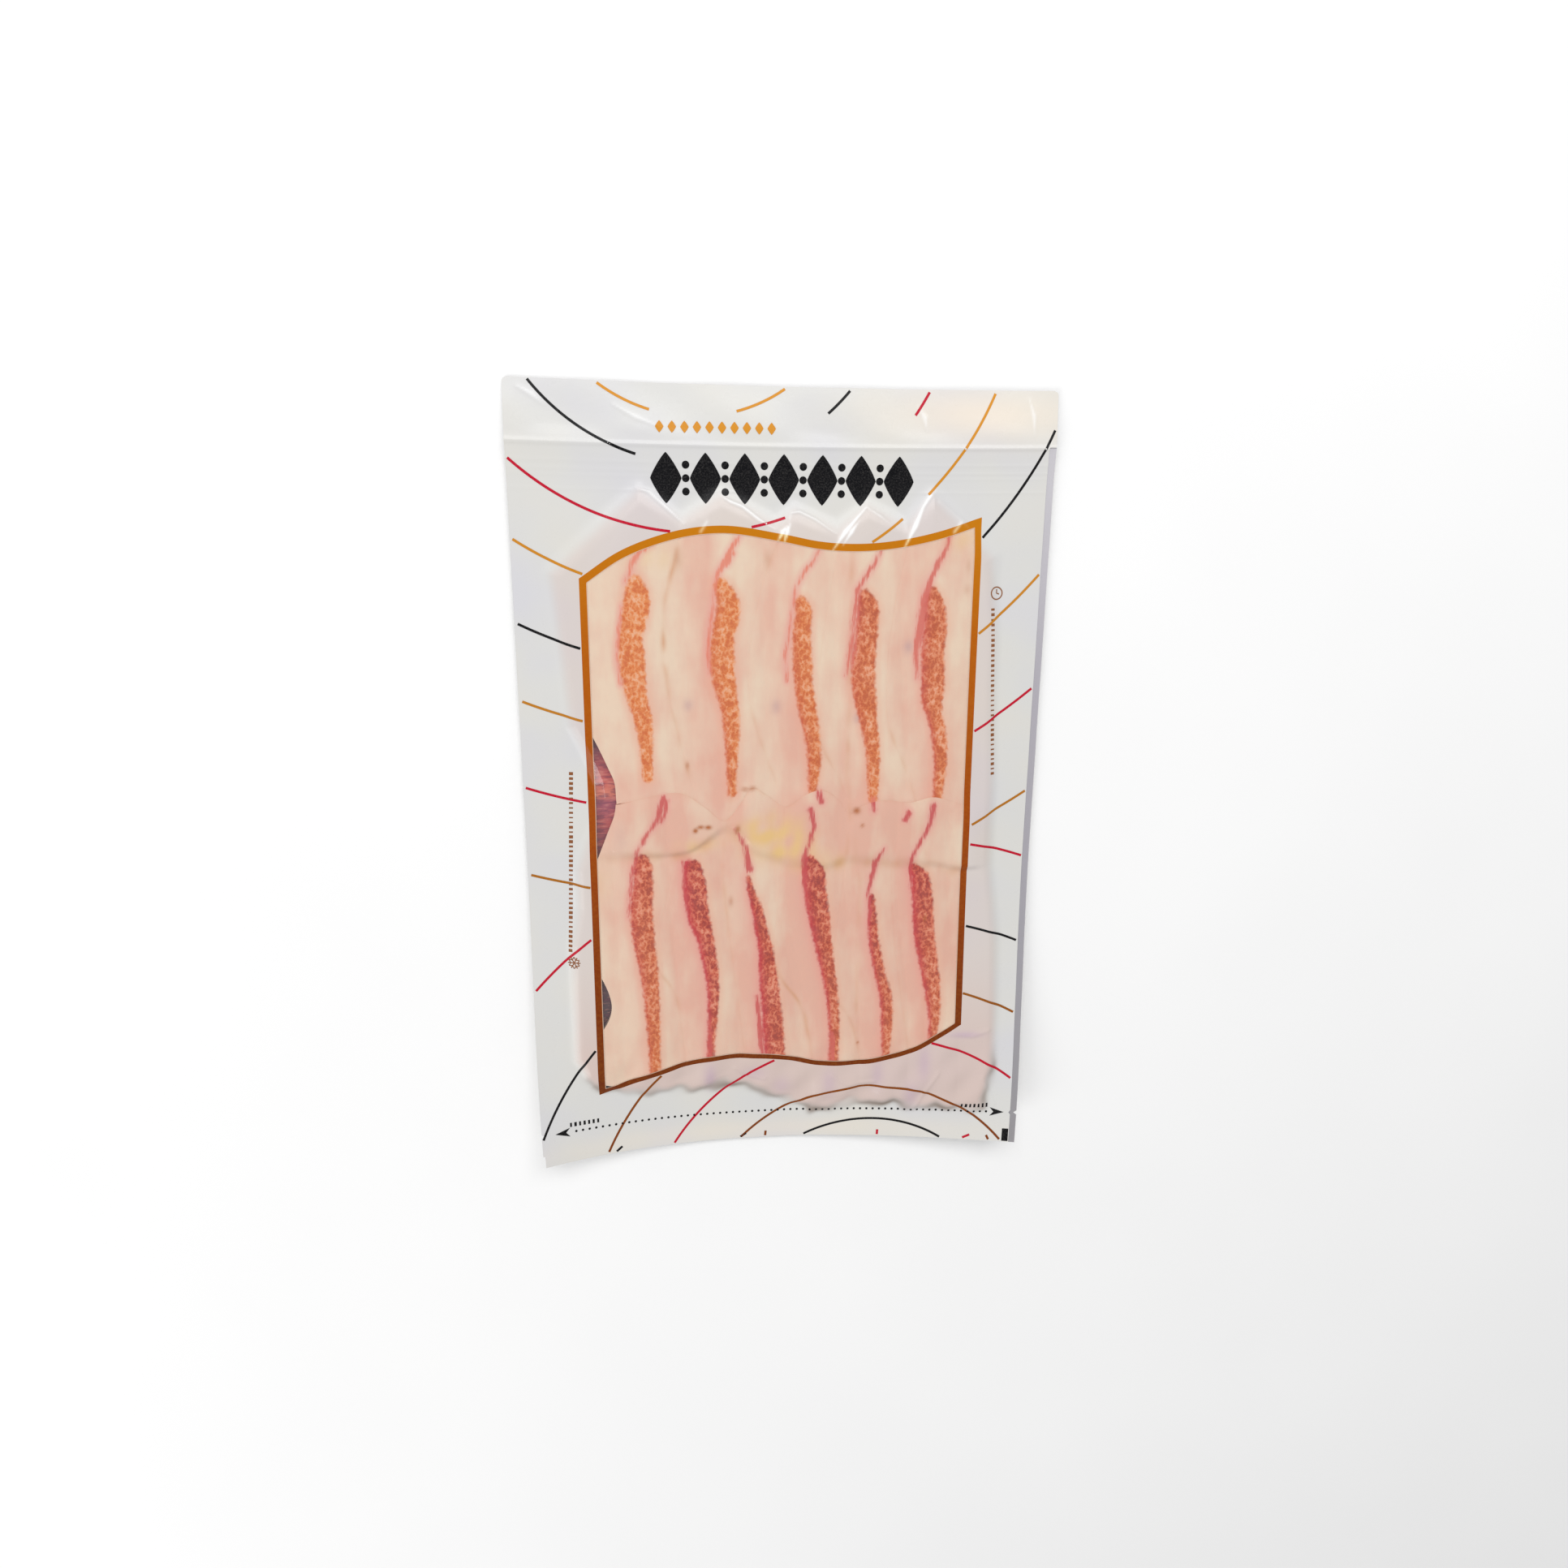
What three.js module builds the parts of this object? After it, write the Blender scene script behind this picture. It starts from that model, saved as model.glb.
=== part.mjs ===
// A flat vacuum pouch of sliced cured pork jowl, lying on its back with the printed front up.
//
// Millimetres, +Z up. X runs across the pouch, +Y points to its top edge, and the origin is the
// middle of its footprint on the surface it lies on. Two films are sealed together all round two
// rows of slices, which stand side by side and overlap in the middle. The sealed margins hang at
// mid height, the top flap is folded down along a crease, and both bottom corners curl up.

import * as THREE from "three";
import { mergeVertices } from "three/addons/utils/BufferGeometryUtils.js";

// ---- Driving dimensions, in millimetres ----

const POUCH_WIDTH = 200;
const POUCH_LENGTH = 300;
const SEALED_THICKNESS = 0.8; // the two bonded films, drawn thick enough to hold as a solid
const MARGIN_HEIGHT = 2.2; // middle of the sealed margins above the surface
const CONTENTS_HEIGHT = 4.2; // top of the front film over the slices, without their relief

// The crease of the top flap: its height on the middle line, and how it runs across.
const CREASE_Y = 128.5;
const CREASE_SLANT = 0.5;
const CREASE_BOW = 1.0;
const CREASE_RISE = 1.0; // the crease stands above the margins
const CREASE_RUN = 16; // length over which the film below the crease rises to it
const FLAP_DROP_LEFT = 1.7; // how far the flap's top corners lie under the margins
const FLAP_DROP_RIGHT = 1.0;
const TOP_EDGE_SAG = 1.0; // the top edge is drawn in at its middle
const CORNER_ROUND = 1.0;

// The curled bottom corners: lift at the corner, where it starts, and how steeply it rises.
const CURL_START_Y = -16;
const CURL_LEFT = { lift: 14.0, start: -16, power: 2.0, drawIn: 2.5, drawPower: 3 };
const CURL_RIGHT = { lift: 13.7, start: 1.5, power: 1.5, drawIn: 3.0, drawPower: 2 };

// The tear notches at both ends of the tear line, and the small jog under the left one.
const TEAR_Y = -137.5;
const NOTCH_DEPTH = 1.3;
const NOTCH_HALF_WIDTH = 0.9;
const JOG_Y = -145.5;
const JOG_DEPTH = 0.8;

// The block of slices under the film.
const CONTENTS_LEFT = -83;
const CONTENTS_RIGHT = 82;
const CONTENTS_RIGHT_SPREAD = 5; // the lower row reaches further to the right
const CONTENTS_TOP = 107;
const CONTENTS_BOTTOM_LEFT = -123;
const CONTENTS_BOTTOM_RIGHT = -133;
const CONTENTS_BOTTOM_STEP = 8; // half width of the step between the two bottom heights
const CONTENTS_CORNER = 16;
const FILM_SLOPE_OUT = 8; // the front film leaves the margin this far outside the block
const FILM_SLOPE_IN = 6; // and is at full height this far inside it
const FLAT_BACK_INSET = 5; // the back film lies flat this far inside the block

// The slices: the middle of each one at its head and at its tail, from left to right.
const UPPER_SLICES = [
  { head: -58, tail: -53 },
  { head: -24, tail: -21 },
  { head: 5.5, tail: 10.5 },
  { head: 29.5, tail: 34.5 },
  { head: 56, tail: 60.5 },
];
const LOWER_SLICES = [
  { head: -56.5, tail: -54 },
  { head: -36, tail: -29.5 },
  { head: -15.5, tail: -4 },
  { head: 10, tail: 21 },
  { head: 34.5, tail: 42.5 },
  { head: 54, tail: 62.5 },
];
const UPPER_ROW = { headY: 80, tailY: 0 };
const LOWER_ROW = { headY: -25, tailY: -110 };
const SLICE_CROWN = 0.7; // each slice is higher in its middle than at its edges
const OVERLAP_RISE = 1.1; // the lower row's heads lie on the upper row's tails
const OVERLAP_TOP = 3;
const OVERLAP_BOTTOM = -24;
const OVERLAP_EDGE = 5; // width of the soft step at either side of the overlap
const OVERLAP_LOBE = 3; // how far the slices' ends wander from a straight line
const OVERLAP_LOBE_PITCH = 31;

// Grid of the films, finest over the slices.
const SLICE_CELL_X = 5.0;
const SLICE_CELL_Y = 5.2;
const MARGIN_CELLS = 3;
const FLAP_CELLS = 4;
const SEAL_CELLS = 5;
const BOTTOM_CELLS = 3;
const WELD_DISTANCE = 0.001;

const FILM_COLOUR = 0xe3e1df;
const FILM_ROUGHNESS = 0.32;

// ---- Small helpers ----

const halfWidth = POUCH_WIDTH / 2;
const halfLength = POUCH_LENGTH / 2;
const halfFilm = SEALED_THICKNESS / 2;

/** Smooth step from 0 at low to 1 at high. */
function rise(low, high, value) {
  return THREE.MathUtils.smoothstep(value, low, high);
}

/** Values from first to last in equal steps, without the first one. */
function steps(first, last, count) {
  return Array.from({ length: count }, (_, i) => THREE.MathUtils.lerp(first, last, (i + 1) / count));
}

// ---- The form of the pouch ----

function creaseY(x) {
  const across = x / halfWidth;
  return CREASE_Y + CREASE_SLANT * across + CREASE_BOW * across * across;
}

function topEdgeY(x) {
  const across = x / halfWidth;
  return halfLength - TOP_EDGE_SAG * (1 - across * across);
}

/** Fraction of a bottom corner's curl: 0 at its start lines, 1 at the corner. */
function curlShare(curl, side, x, y) {
  const across = Math.max(0, (side * x - side * curl.start) / (halfWidth - side * curl.start));
  const down = Math.max(0, (CURL_START_Y - y) / (CURL_START_Y + halfLength));
  return { across, down: down * down };
}

/** Lift of the whole pouch at a point: both curled corners, the crease and the flap. */
function poseHeight(x, y) {
  let lift = 0;
  for (const [curl, side] of [[CURL_LEFT, -1], [CURL_RIGHT, 1]]) {
    const share = curlShare(curl, side, x, y);
    lift += curl.lift * share.across ** curl.power * share.down;
  }
  const crease = creaseY(x);
  if (y <= crease) {
    const toCrease = Math.max(0, 1 - (crease - y) / CREASE_RUN);
    return lift + CREASE_RISE * toCrease * toCrease;
  }
  const along = (y - crease) / (topEdgeY(x) - crease);
  const drop = THREE.MathUtils.lerp(FLAP_DROP_LEFT, FLAP_DROP_RIGHT, (x + halfWidth) / POUCH_WIDTH);
  return lift + THREE.MathUtils.lerp(CREASE_RISE, -drop, along);
}

/** Sideways shift of a point: a curled corner reaches less far out than a flat one. */
function drawIn(x, y) {
  const left = curlShare(CURL_LEFT, -1, x, y);
  const right = curlShare(CURL_RIGHT, 1, x, y);
  return CURL_LEFT.drawIn * left.across ** CURL_LEFT.drawPower * left.down ** 2
    - CURL_RIGHT.drawIn * right.across ** CURL_RIGHT.drawPower * right.down ** 2;
}

/** How far a point lies inside the block of slices; negative outside it. */
function insideContents(x, y) {
  const right = CONTENTS_RIGHT + CONTENTS_RIGHT_SPREAD * rise(0, halfLength, -y);
  const bottom = THREE.MathUtils.lerp(CONTENTS_BOTTOM_LEFT, CONTENTS_BOTTOM_RIGHT,
    rise(-CONTENTS_BOTTOM_STEP, CONTENTS_BOTTOM_STEP, x));
  const sideways = Math.max(CONTENTS_LEFT - x, x - right) + CONTENTS_CORNER;
  const lengthways = Math.max(bottom - y, y - CONTENTS_TOP) + CONTENTS_CORNER;
  const outside = Math.hypot(Math.max(0, sideways), Math.max(0, lengthways));
  return CONTENTS_CORNER - outside - Math.min(0, Math.max(sideways, lengthways));
}

/** Crown of the slice under a point, 1 on its middle line and 0 between two slices. */
function sliceCrown(slices, row, x, y) {
  const along = rise(0, 1, (row.headY - y) / (row.headY - row.tailY));
  const middles = slices.map((slice) => THREE.MathUtils.lerp(slice.head, slice.tail, along));
  const nearest = middles.reduce((best, middle) => Math.min(best, Math.abs(x - middle)), Infinity);
  const pitch = (middles.at(-1) - middles[0]) / (middles.length - 1);
  const off = Math.min(1, nearest / (pitch / 2));
  return 1 - off * off;
}

/** Relief of the two rows: crowned slices, and a raised band where the rows overlap. */
function sliceRelief(x, y) {
  const lobe = OVERLAP_LOBE * Math.cos((2 * Math.PI * x) / OVERLAP_LOBE_PITCH);
  const belowTop = rise(OVERLAP_TOP + lobe + OVERLAP_EDGE, OVERLAP_TOP + lobe - OVERLAP_EDGE, y);
  const aboveBottom = rise(OVERLAP_BOTTOM - lobe - OVERLAP_EDGE, OVERLAP_BOTTOM - lobe + OVERLAP_EDGE, y);
  const upper = sliceCrown(UPPER_SLICES, UPPER_ROW, x, y);
  const lower = sliceCrown(LOWER_SLICES, LOWER_ROW, x, y);
  const crown = THREE.MathUtils.lerp(upper, lower, belowTop);
  return SLICE_CROWN * crown + OVERLAP_RISE * belowTop * aboveBottom;
}

function frontHeight(x, y) {
  const margin = MARGIN_HEIGHT + halfFilm;
  const inside = insideContents(x, y);
  const swell = rise(-FILM_SLOPE_OUT, FILM_SLOPE_IN, inside);
  const relief = sliceRelief(x, y) * rise(0, CONTENTS_CORNER, inside);
  return margin + swell * (CONTENTS_HEIGHT - margin) + relief + poseHeight(x, y);
}

function backHeight(x, y) {
  const margin = MARGIN_HEIGHT - halfFilm;
  const sag = rise(-FILM_SLOPE_OUT, FLAT_BACK_INSET, insideContents(x, y));
  return margin * (1 - sag) + poseHeight(x, y);
}

// ---- The grid and its closed mesh ----

/** Columns of the grid, from the left edge to the right one. */
function gridColumns() {
  const right = CONTENTS_RIGHT + CONTENTS_RIGHT_SPREAD;
  const overSlices = Math.round((right - CONTENTS_LEFT) / SLICE_CELL_X);
  return [
    -halfWidth,
    ...steps(-halfWidth, CONTENTS_LEFT, MARGIN_CELLS),
    ...steps(CONTENTS_LEFT, right, overSlices),
    ...steps(right, halfWidth, MARGIN_CELLS),
  ];
}

/** Rows under the crease, from the bottom edge up, as heights on the middle line. */
function bodyRows() {
  const overSlices = Math.round((CONTENTS_TOP - CONTENTS_BOTTOM_RIGHT) / SLICE_CELL_Y);
  return [
    -halfLength,
    ...steps(-halfLength, JOG_Y, 1),
    ...steps(JOG_Y, TEAR_Y - NOTCH_HALF_WIDTH, BOTTOM_CELLS),
    TEAR_Y,
    TEAR_Y + NOTCH_HALF_WIDTH,
    ...steps(CONTENTS_BOTTOM_RIGHT, CONTENTS_TOP, overSlices),
    ...steps(CONTENTS_TOP, CREASE_Y, SEAL_CELLS),
  ];
}

/** Point of the pouch's outline or film plan for a grid column and a row. */
function planPoint(x, row) {
  if (row.flap > 0) {
    return { x, y: THREE.MathUtils.lerp(creaseY(x), topEdgeY(x), row.flap) };
  }
  // Rows between the slices and the crease bend gradually with it.
  const towardsCrease = Math.max(0, (row.y - CONTENTS_TOP) / (CREASE_Y - CONTENTS_TOP));
  return { x, y: row.y + (creaseY(x) - CREASE_Y) * towardsCrease };
}

/** Sideways trim of the outline: tear notches, the jog, and rounded top corners. */
function edgeTrim(x, row) {
  const side = Math.sign(x);
  let trim = 0;
  if (row.y === TEAR_Y) trim += NOTCH_DEPTH;
  if (side < 0 && row.y < JOG_Y) trim += JOG_DEPTH;
  if (row.flap === 1) trim += CORNER_ROUND;
  return -side * trim;
}

function buildPouch() {
  const columns = gridColumns();
  const rows = [
    ...bodyRows().map((y) => ({ y, flap: 0 })),
    ...steps(0, 1, FLAP_CELLS).map((flap) => ({ y: Infinity, flap })),
  ];
  const front = [];
  const back = [];
  const plan = rows.map((row) => columns.map((x) => {
    const point = planPoint(x, row);
    const onEdge = Math.abs(x) === halfWidth;
    const trimmed = point.x + (onEdge ? edgeTrim(x, row) : 0);
    return { x: trimmed + drawIn(point.x, point.y), y: point.y, column: point.x };
  }));
  for (const [r] of rows.entries()) {
    for (const [c] of columns.entries()) {
      const { x, y, column } = plan[r][c];
      front.push(x, y, frontHeight(column, y));
      back.push(x, y, backHeight(column, y));
    }
  }

  const across = columns.length;
  const upward = rows.length;
  const backStart = across * upward;
  const frontAt = (r, c) => r * across + c;
  const backAt = (r, c) => backStart + r * across + c;
  const faces = [];
  const quad = (a, b, c, d) => faces.push(a, b, c, a, c, d);

  // The back film lies flat over a large rectangle, which is closed by one fan.
  const flat = flatBackRectangle(columns, rows);
  for (let r = 0; r < upward - 1; r += 1) {
    for (let c = 0; c < across - 1; c += 1) {
      quad(frontAt(r, c), frontAt(r, c + 1), frontAt(r + 1, c + 1), frontAt(r + 1, c));
      const inFlat = r >= flat.bottom && r < flat.top && c >= flat.left && c < flat.right;
      if (!inFlat) quad(backAt(r, c), backAt(r + 1, c), backAt(r + 1, c + 1), backAt(r, c + 1));
    }
  }
  const rim = [];
  for (let c = flat.left; c < flat.right; c += 1) rim.push(backAt(flat.bottom, c));
  for (let r = flat.bottom; r < flat.top; r += 1) rim.push(backAt(r, flat.right));
  for (let c = flat.right; c > flat.left; c -= 1) rim.push(backAt(flat.top, c));
  for (let r = flat.top; r > flat.bottom; r -= 1) rim.push(backAt(r, flat.left));
  const middleColumn = Math.round((flat.left + flat.right) / 2);
  const middleRow = Math.round((flat.bottom + flat.top) / 2);
  const hub = backAt(middleRow, middleColumn);
  for (const [i, vertex] of rim.entries()) faces.push(hub, rim[(i + 1) % rim.length], vertex);

  // The cut edge of the two films, all round.
  for (let c = 0; c < across - 1; c += 1) {
    quad(backAt(0, c), backAt(0, c + 1), frontAt(0, c + 1), frontAt(0, c));
    quad(backAt(upward - 1, c + 1), backAt(upward - 1, c), frontAt(upward - 1, c), frontAt(upward - 1, c + 1));
  }
  for (let r = 0; r < upward - 1; r += 1) {
    quad(backAt(r + 1, 0), backAt(r, 0), frontAt(r, 0), frontAt(r + 1, 0));
    quad(backAt(r, across - 1), backAt(r + 1, across - 1), frontAt(r + 1, across - 1), frontAt(r, across - 1));
  }

  const loose = new THREE.BufferGeometry();
  loose.setAttribute("position", new THREE.Float32BufferAttribute([...front, ...back], 3));
  loose.setIndex(faces);
  return mergeVertices(loose.toNonIndexed(), WELD_DISTANCE);
}

/** Grid rectangle over which the back film lies on the surface. */
function flatBackRectangle(columns, rows) {
  const right = CONTENTS_RIGHT - CONTENTS_CORNER;
  const left = CONTENTS_LEFT + CONTENTS_CORNER;
  const top = CONTENTS_TOP - FLAT_BACK_INSET - 1;
  return {
    left: columns.findIndex((x) => x >= left),
    right: columns.findLastIndex((x) => x <= right),
    bottom: rows.findIndex((row) => row.y >= CURL_START_Y),
    top: rows.findLastIndex((row) => row.flap === 0 && row.y <= top),
  };
}

// ---- The part ----

const pouch = new THREE.Mesh(
  buildPouch(),
  new THREE.MeshStandardMaterial({ color: FILM_COLOUR, roughness: FILM_ROUGHNESS, metalness: 0 }),
);
pouch.name = "sealed_pouch";

const pack = new THREE.Group();
pack.add(pouch);

export default pack;
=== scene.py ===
"""A flat vacuum pack of sliced cured pork jowl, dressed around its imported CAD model.

Sizes are in millimetres until place() turns them to metres. X runs across the pouch, +Y points to its
top edge and +Z up out of the printed front. The films, the slices and the print all follow one height
field, under Form of the pouch, which repeats the rules of the part's source and adds the fine relief.
"""

import math

import bpy
import numpy as np
from mathutils import Matrix, Vector


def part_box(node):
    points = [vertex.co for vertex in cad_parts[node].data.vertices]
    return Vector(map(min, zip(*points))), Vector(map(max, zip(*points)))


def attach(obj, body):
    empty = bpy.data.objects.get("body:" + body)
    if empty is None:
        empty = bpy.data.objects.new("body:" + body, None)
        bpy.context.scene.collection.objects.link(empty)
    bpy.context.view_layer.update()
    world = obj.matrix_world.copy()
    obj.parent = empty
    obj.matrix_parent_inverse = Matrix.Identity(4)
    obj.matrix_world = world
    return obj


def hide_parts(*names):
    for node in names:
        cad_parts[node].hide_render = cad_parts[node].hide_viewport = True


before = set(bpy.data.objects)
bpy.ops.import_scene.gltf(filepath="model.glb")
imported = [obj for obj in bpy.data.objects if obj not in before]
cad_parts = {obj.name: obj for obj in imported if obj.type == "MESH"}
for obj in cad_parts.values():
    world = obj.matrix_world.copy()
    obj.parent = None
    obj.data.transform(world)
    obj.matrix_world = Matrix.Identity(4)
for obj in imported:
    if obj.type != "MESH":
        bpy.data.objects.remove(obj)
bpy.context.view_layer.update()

# ---- Sizes of the pouch, in millimetres, as in the part's source ----

MM = 0.001
pouch_low, pouch_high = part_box("sealed_pouch")
HALF_WIDTH = (pouch_high.x - pouch_low.x) / MM / 2
HALF_LENGTH = (pouch_high.y - pouch_low.y) / MM / 2
MARGIN_HEIGHT = 2.2
CONTENTS_HEIGHT = 4.2

CREASE_Y = 128.5
CREASE_SLANT = 0.5
CREASE_BOW = 1.0
CREASE_RISE = 1.0
CREASE_RUN = 16
FLAP_DROP_LEFT = 1.7
FLAP_DROP_RIGHT = 1.0
TOP_EDGE_SAG = 1.0
CORNER_ROUND = 1.5

CURL_START_Y = -16
CURL_LEFT = {"side": -1, "lift": 14.0, "start": -16, "power": 2.0, "draw_in": 2.5, "draw_power": 3}
CURL_RIGHT = {"side": 1, "lift": 13.7, "start": 1.5, "power": 1.5, "draw_in": 3.0, "draw_power": 2}

TEAR_Y = -137.5
NOTCH_DEPTH = 1.3
NOTCH_HALF_WIDTH = 0.9
JOG_Y = -145.5
JOG_DEPTH = 0.8
TRIM_FADE = 6  # the films are squeezed over this width to make room for a notch

# ---- The slices' block under the film ----

# Feet and points of the film's tents, which stand over the slices' pointed ends.
LEFT_SHOULDER = (-86, 83)
TENTS = [
    (-53.7, 112.6), (-38.6, 102.5), (-24.4, 111.4), (-4.5, 101.5), (2.5, 106.2),
    (18.4, 99.8), (29.6, 108), (44, 101.5), (54, 112),
]
RIGHT_SHOULDER = (77.5, 90)
BLOCK_RIGHT = [(80.4, 60), (80.6, 40), (82.3, 8), (83.2, -31), (87, -60), (88, -90), (88, -116)]
BLOCK_BOTTOM = [
    (84.5, -135), (76, -136), (65, -135), (57, -136), (47, -133), (38, -134.5), (31, -133),
    (20, -136), (12, -136.5), (4, -132.5), (-3, -130.5), (-9, -127.5), (-16, -124), (-24, -122.5),
    (-33, -125), (-44, -124), (-60, -124), (-78, -119.5),
]
BLOCK_LEFT = [(-84, -108), (-84, -60), (-81, -45)]
# Between the two rows the slices leave a rounded gap at the left, where the backing shows.
GAP_SHIFT = -5  # the film sinks into the gap only beyond the window frame
GAP_EDGE = [
    (-75.8, -29), (-73.4, -23), (-69.6, -14), (-66.9, -7), (-66, -1), (-66.6, 5), (-69, 11.5),
    (-72, 18.5), (-76, 27),
]
ABOVE_GAP = (-83, 50)
BLOCK_OUTLINE = [
    LEFT_SHOULDER, *TENTS, RIGHT_SHOULDER, *BLOCK_RIGHT, *BLOCK_BOTTOM, *BLOCK_LEFT,
    *[(x + GAP_SHIFT, y) for x, y in GAP_EDGE], ABOVE_GAP,
]
SLICE_INSET = 1.2  # the slices end this far inside the block

# Middle of each slice at its head and at its tail.
UPPER_MIDDLES = [(-58, -53), (-24, -21), (5.5, 10.5), (29.5, 34.5), (56, 60.5)]
LOWER_MIDDLES = [(-56.5, -54), (-36, -29.5), (-15.5, -4), (10, 21), (34.5, 42.5), (54, 62.5)]
UPPER_ROW = (80, 0)
LOWER_ROW = (-25, -110)
SLICE_CROWN = 0.6
OVERLAP_RISE = 1.1
SEAM_STEP = 0.13

# Left edge of each slice, as (y, x). Each slice lies on the right part of its left neighbour.
UPPER_LEFT_EDGES = [
    [(-36, -60), (-8, -64.5), (-1, -65.2), (6, -65.8), (11.5, -68), (18.5, -71), (27, -75), (36, -79),
     (50, -82.3), (83, -84.5), (100, -84.5)],
    [(-36, -33), (2, -36), (13, -38.5), (25, -41.4), (44, -45.1), (60, -46), (75, -45), (90, -40.8),
     (101, -38.6)],
    [(-36, 3), (6, -4.3), (20, -9.5), (35, -13.7), (50, -14.4), (70, -11.5), (85, -7.6), (96, -3.2)],
    [(-36, 30), (4, 21.7), (20, 13.6), (32, 11.8), (50, 12.6), (70, 15), (93, 19)],
    [(-36, 58), (2, 49.8), (14, 45), (25, 40.3), (45, 38.5), (70, 40.5), (94, 45)],
]
LOWER_LEFT_EDGES = [
    [(-125, -82.5), (-106, -82.3), (-98, -75), (-92, -71), (-86, -69.6), (-81, -70.4), (-76, -72.2),
     (-71.5, -74.4), (-64, -79), (-57, -82.4), (-45, -79.8), (-29, -74.8), (-23, -72.4), (-14, -68.8),
     (-7, -66.1), (2, -65)],
    [(-125, -40), (-100, -41.5), (-80.6, -44.9), (-70, -50.8), (-60, -50.3), (-40, -46.5), (-22, -42),
     (2, -37)],
    [(-136, -12), (-110, -16), (-80, -19.5), (-50, -23), (-30, -24.5), (-12, -23), (4, -20)],
    [(-136, 13.5), (-110, 11.5), (-99.5, 9.7), (-89.5, 7), (-76.7, -1.5), (-69.6, -4.5), (-50, -3),
     (-25, -1.5), (4, 0)],
    [(-136, 34), (-107, 30.5), (-97, 27.9), (-87, 21.9), (-65, 20.5), (-40, 23), (-18, 25), (-10, 25.4),
     (4, 24)],
    [(-136, 55), (-105, 51.5), (-80, 47.5), (-62, 45), (-45, 43.6), (-29, 43), (-12, 46), (4, 47)],
]
UNDERLAP = 19  # how far a slice reaches under its right neighbour
UPPER_TAIL_Y = -33
# Heads of the lower row, which lie on the upper row's tails, as (x, y).
LOWER_HEADS = [
    (-84, -4), (-65, -3), (-50, 0.5), (-40, 1), (-31, -5), (-24, -10), (-18, -4), (-13.7, 2.5), (-8, 0),
    (0, -5), (8, 0), (14, 1.5), (21, -3), (25, -8), (30, -5), (40, -3), (49, -4), (58, -2), (72, -6),
    (85, -8),
]
# Foot of the band where the rows overlap, as (x, y), and how soft its step is.
BAND_FOOT = [
    (-90, -22), (-56, -23.4), (-44.7, -23.4), (-36, -21.4), (-29, -16.7), (-22.5, -13), (-17, -17),
    (-11.5, -22.9), (-4, -25.7), (1, -27.2), (9.4, -28), (17, -29.3), (23, -27.5), (32, -27), (42, -27.6),
    (50.5, -28.8), (61, -29.8), (70, -31.8), (80, -31.6), (92, -32),
]
BAND_SOFTNESS = [
    (-90, 3), (-70, 3.2), (-58, 2), (-30, 1.7), (-20, 3), (-10, 2.4), (1, 3.2), (15, 2.2), (26, 3), (40, 4),
    (56, 2.2), (72, 1.4), (90, 1.6),
]

# ---- The clear window and its printed frame ----

WINDOW_LEFT = -76
WINDOW_RIGHT = 73.2
WINDOW_RIGHT_LEAN = 0.9  # the right side stands this much further out at the bottom
FRAME_WIDTH = 2.85
FRAME_WIDTH_BOTTOM = 2.2
WINDOW_TOP = [
    (-76, 81.5), (-62, 90.8), (-50, 95.9), (-38, 99.2), (-25, 100.6), (-2, 97.9), (12, 95.4), (25, 94.7),
    (43, 96.4), (56, 99.3), (73.2, 104.9),
]
WINDOW_BOTTOM = [
    (-76, -124), (-52, -117), (-31, -112.3), (-5, -112.6), (18.5, -116.6), (37, -115.4), (55, -110.3),
    (65, -104.3), (74, -98.6),
]
CLEAR_STRIP_X = 97.3  # the print stops here, and the clear edge shows the backing

FILM_CELL = 0.62
LAMINATE = 0.3  # both films together, drawn a little thick
BACK_CLEARANCE = 0.1  # room for the print under the backing
FILM_GAP = 0.15  # the slices' top lies this far under the film


# ---- Small numeric helpers ----

def rise(low, high, value):
    """Smooth step from 0 at low to 1 at high."""
    share = np.clip((value - low) / (high - low), 0, 1)
    return share * share * (3 - 2 * share)


def mix(first, last, share):
    return first + (last - first) * share


def through(knots):
    """A smooth curve through (position, value) knots, which keeps its end values beyond them."""
    at, value = np.array(knots, float).T
    slope = np.gradient(value, at)

    def curve(position):
        held = np.clip(position, at[0], at[-1])
        i = np.clip(np.searchsorted(at, held, side="right") - 1, 0, len(at) - 2)
        step = at[i + 1] - at[i]
        t = (held - at[i]) / step
        start = (1 - t) ** 2 * ((1 + 2 * t) * value[i] + t * step * slope[i])
        return start + t * t * ((3 - 2 * t) * value[i + 1] + (t - 1) * step * slope[i + 1])

    return curve


def smoothed(knots, step):
    """Points about one step apart on a smooth curve through knots of any number of values."""
    knots = np.array(knots, float)
    run = np.concatenate([[0], np.cumsum(np.hypot(*np.diff(knots[:, :2], axis=0).T))])
    at = np.linspace(0, run[-1], max(2, int(math.ceil(run[-1] / step)) + 1))
    return np.stack([through(np.column_stack([run, values]))(at) for values in knots.T], -1)


def off_line(line, x, y):
    """Distance of points from a line of (x, y, half width) knots, less its half width there."""
    nearest = np.full(np.shape(x), np.inf)
    for (ax, ay, aw), (bx, by, bw) in zip(line, line[1:]):
        dx, dy = bx - ax, by - ay
        along = np.clip(((x - ax) * dx + (y - ay) * dy) / (dx * dx + dy * dy), 0, 1)
        apart = np.hypot(x - ax - along * dx, y - ay - along * dy)
        nearest = np.minimum(nearest, apart - mix(aw, bw, along))
    return nearest


def reach_into(outline, x, y):
    """Distance of points inside a closed outline; negative outside it."""
    nearest = np.full(np.shape(x), np.inf)
    within = np.zeros(np.shape(x), bool)
    for (ax, ay), (bx, by) in zip(outline, outline[1:] + outline[:1]):
        nearest = np.minimum(nearest, off_line([(ax, ay, 0), (bx, by, 0)], x, y))
        if ay != by:
            within ^= ((ay > y) != (by > y)) & (x < (bx - ax) * (y - ay) / (by - ay) + ax)
    return np.where(within, nearest, -nearest)


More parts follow.
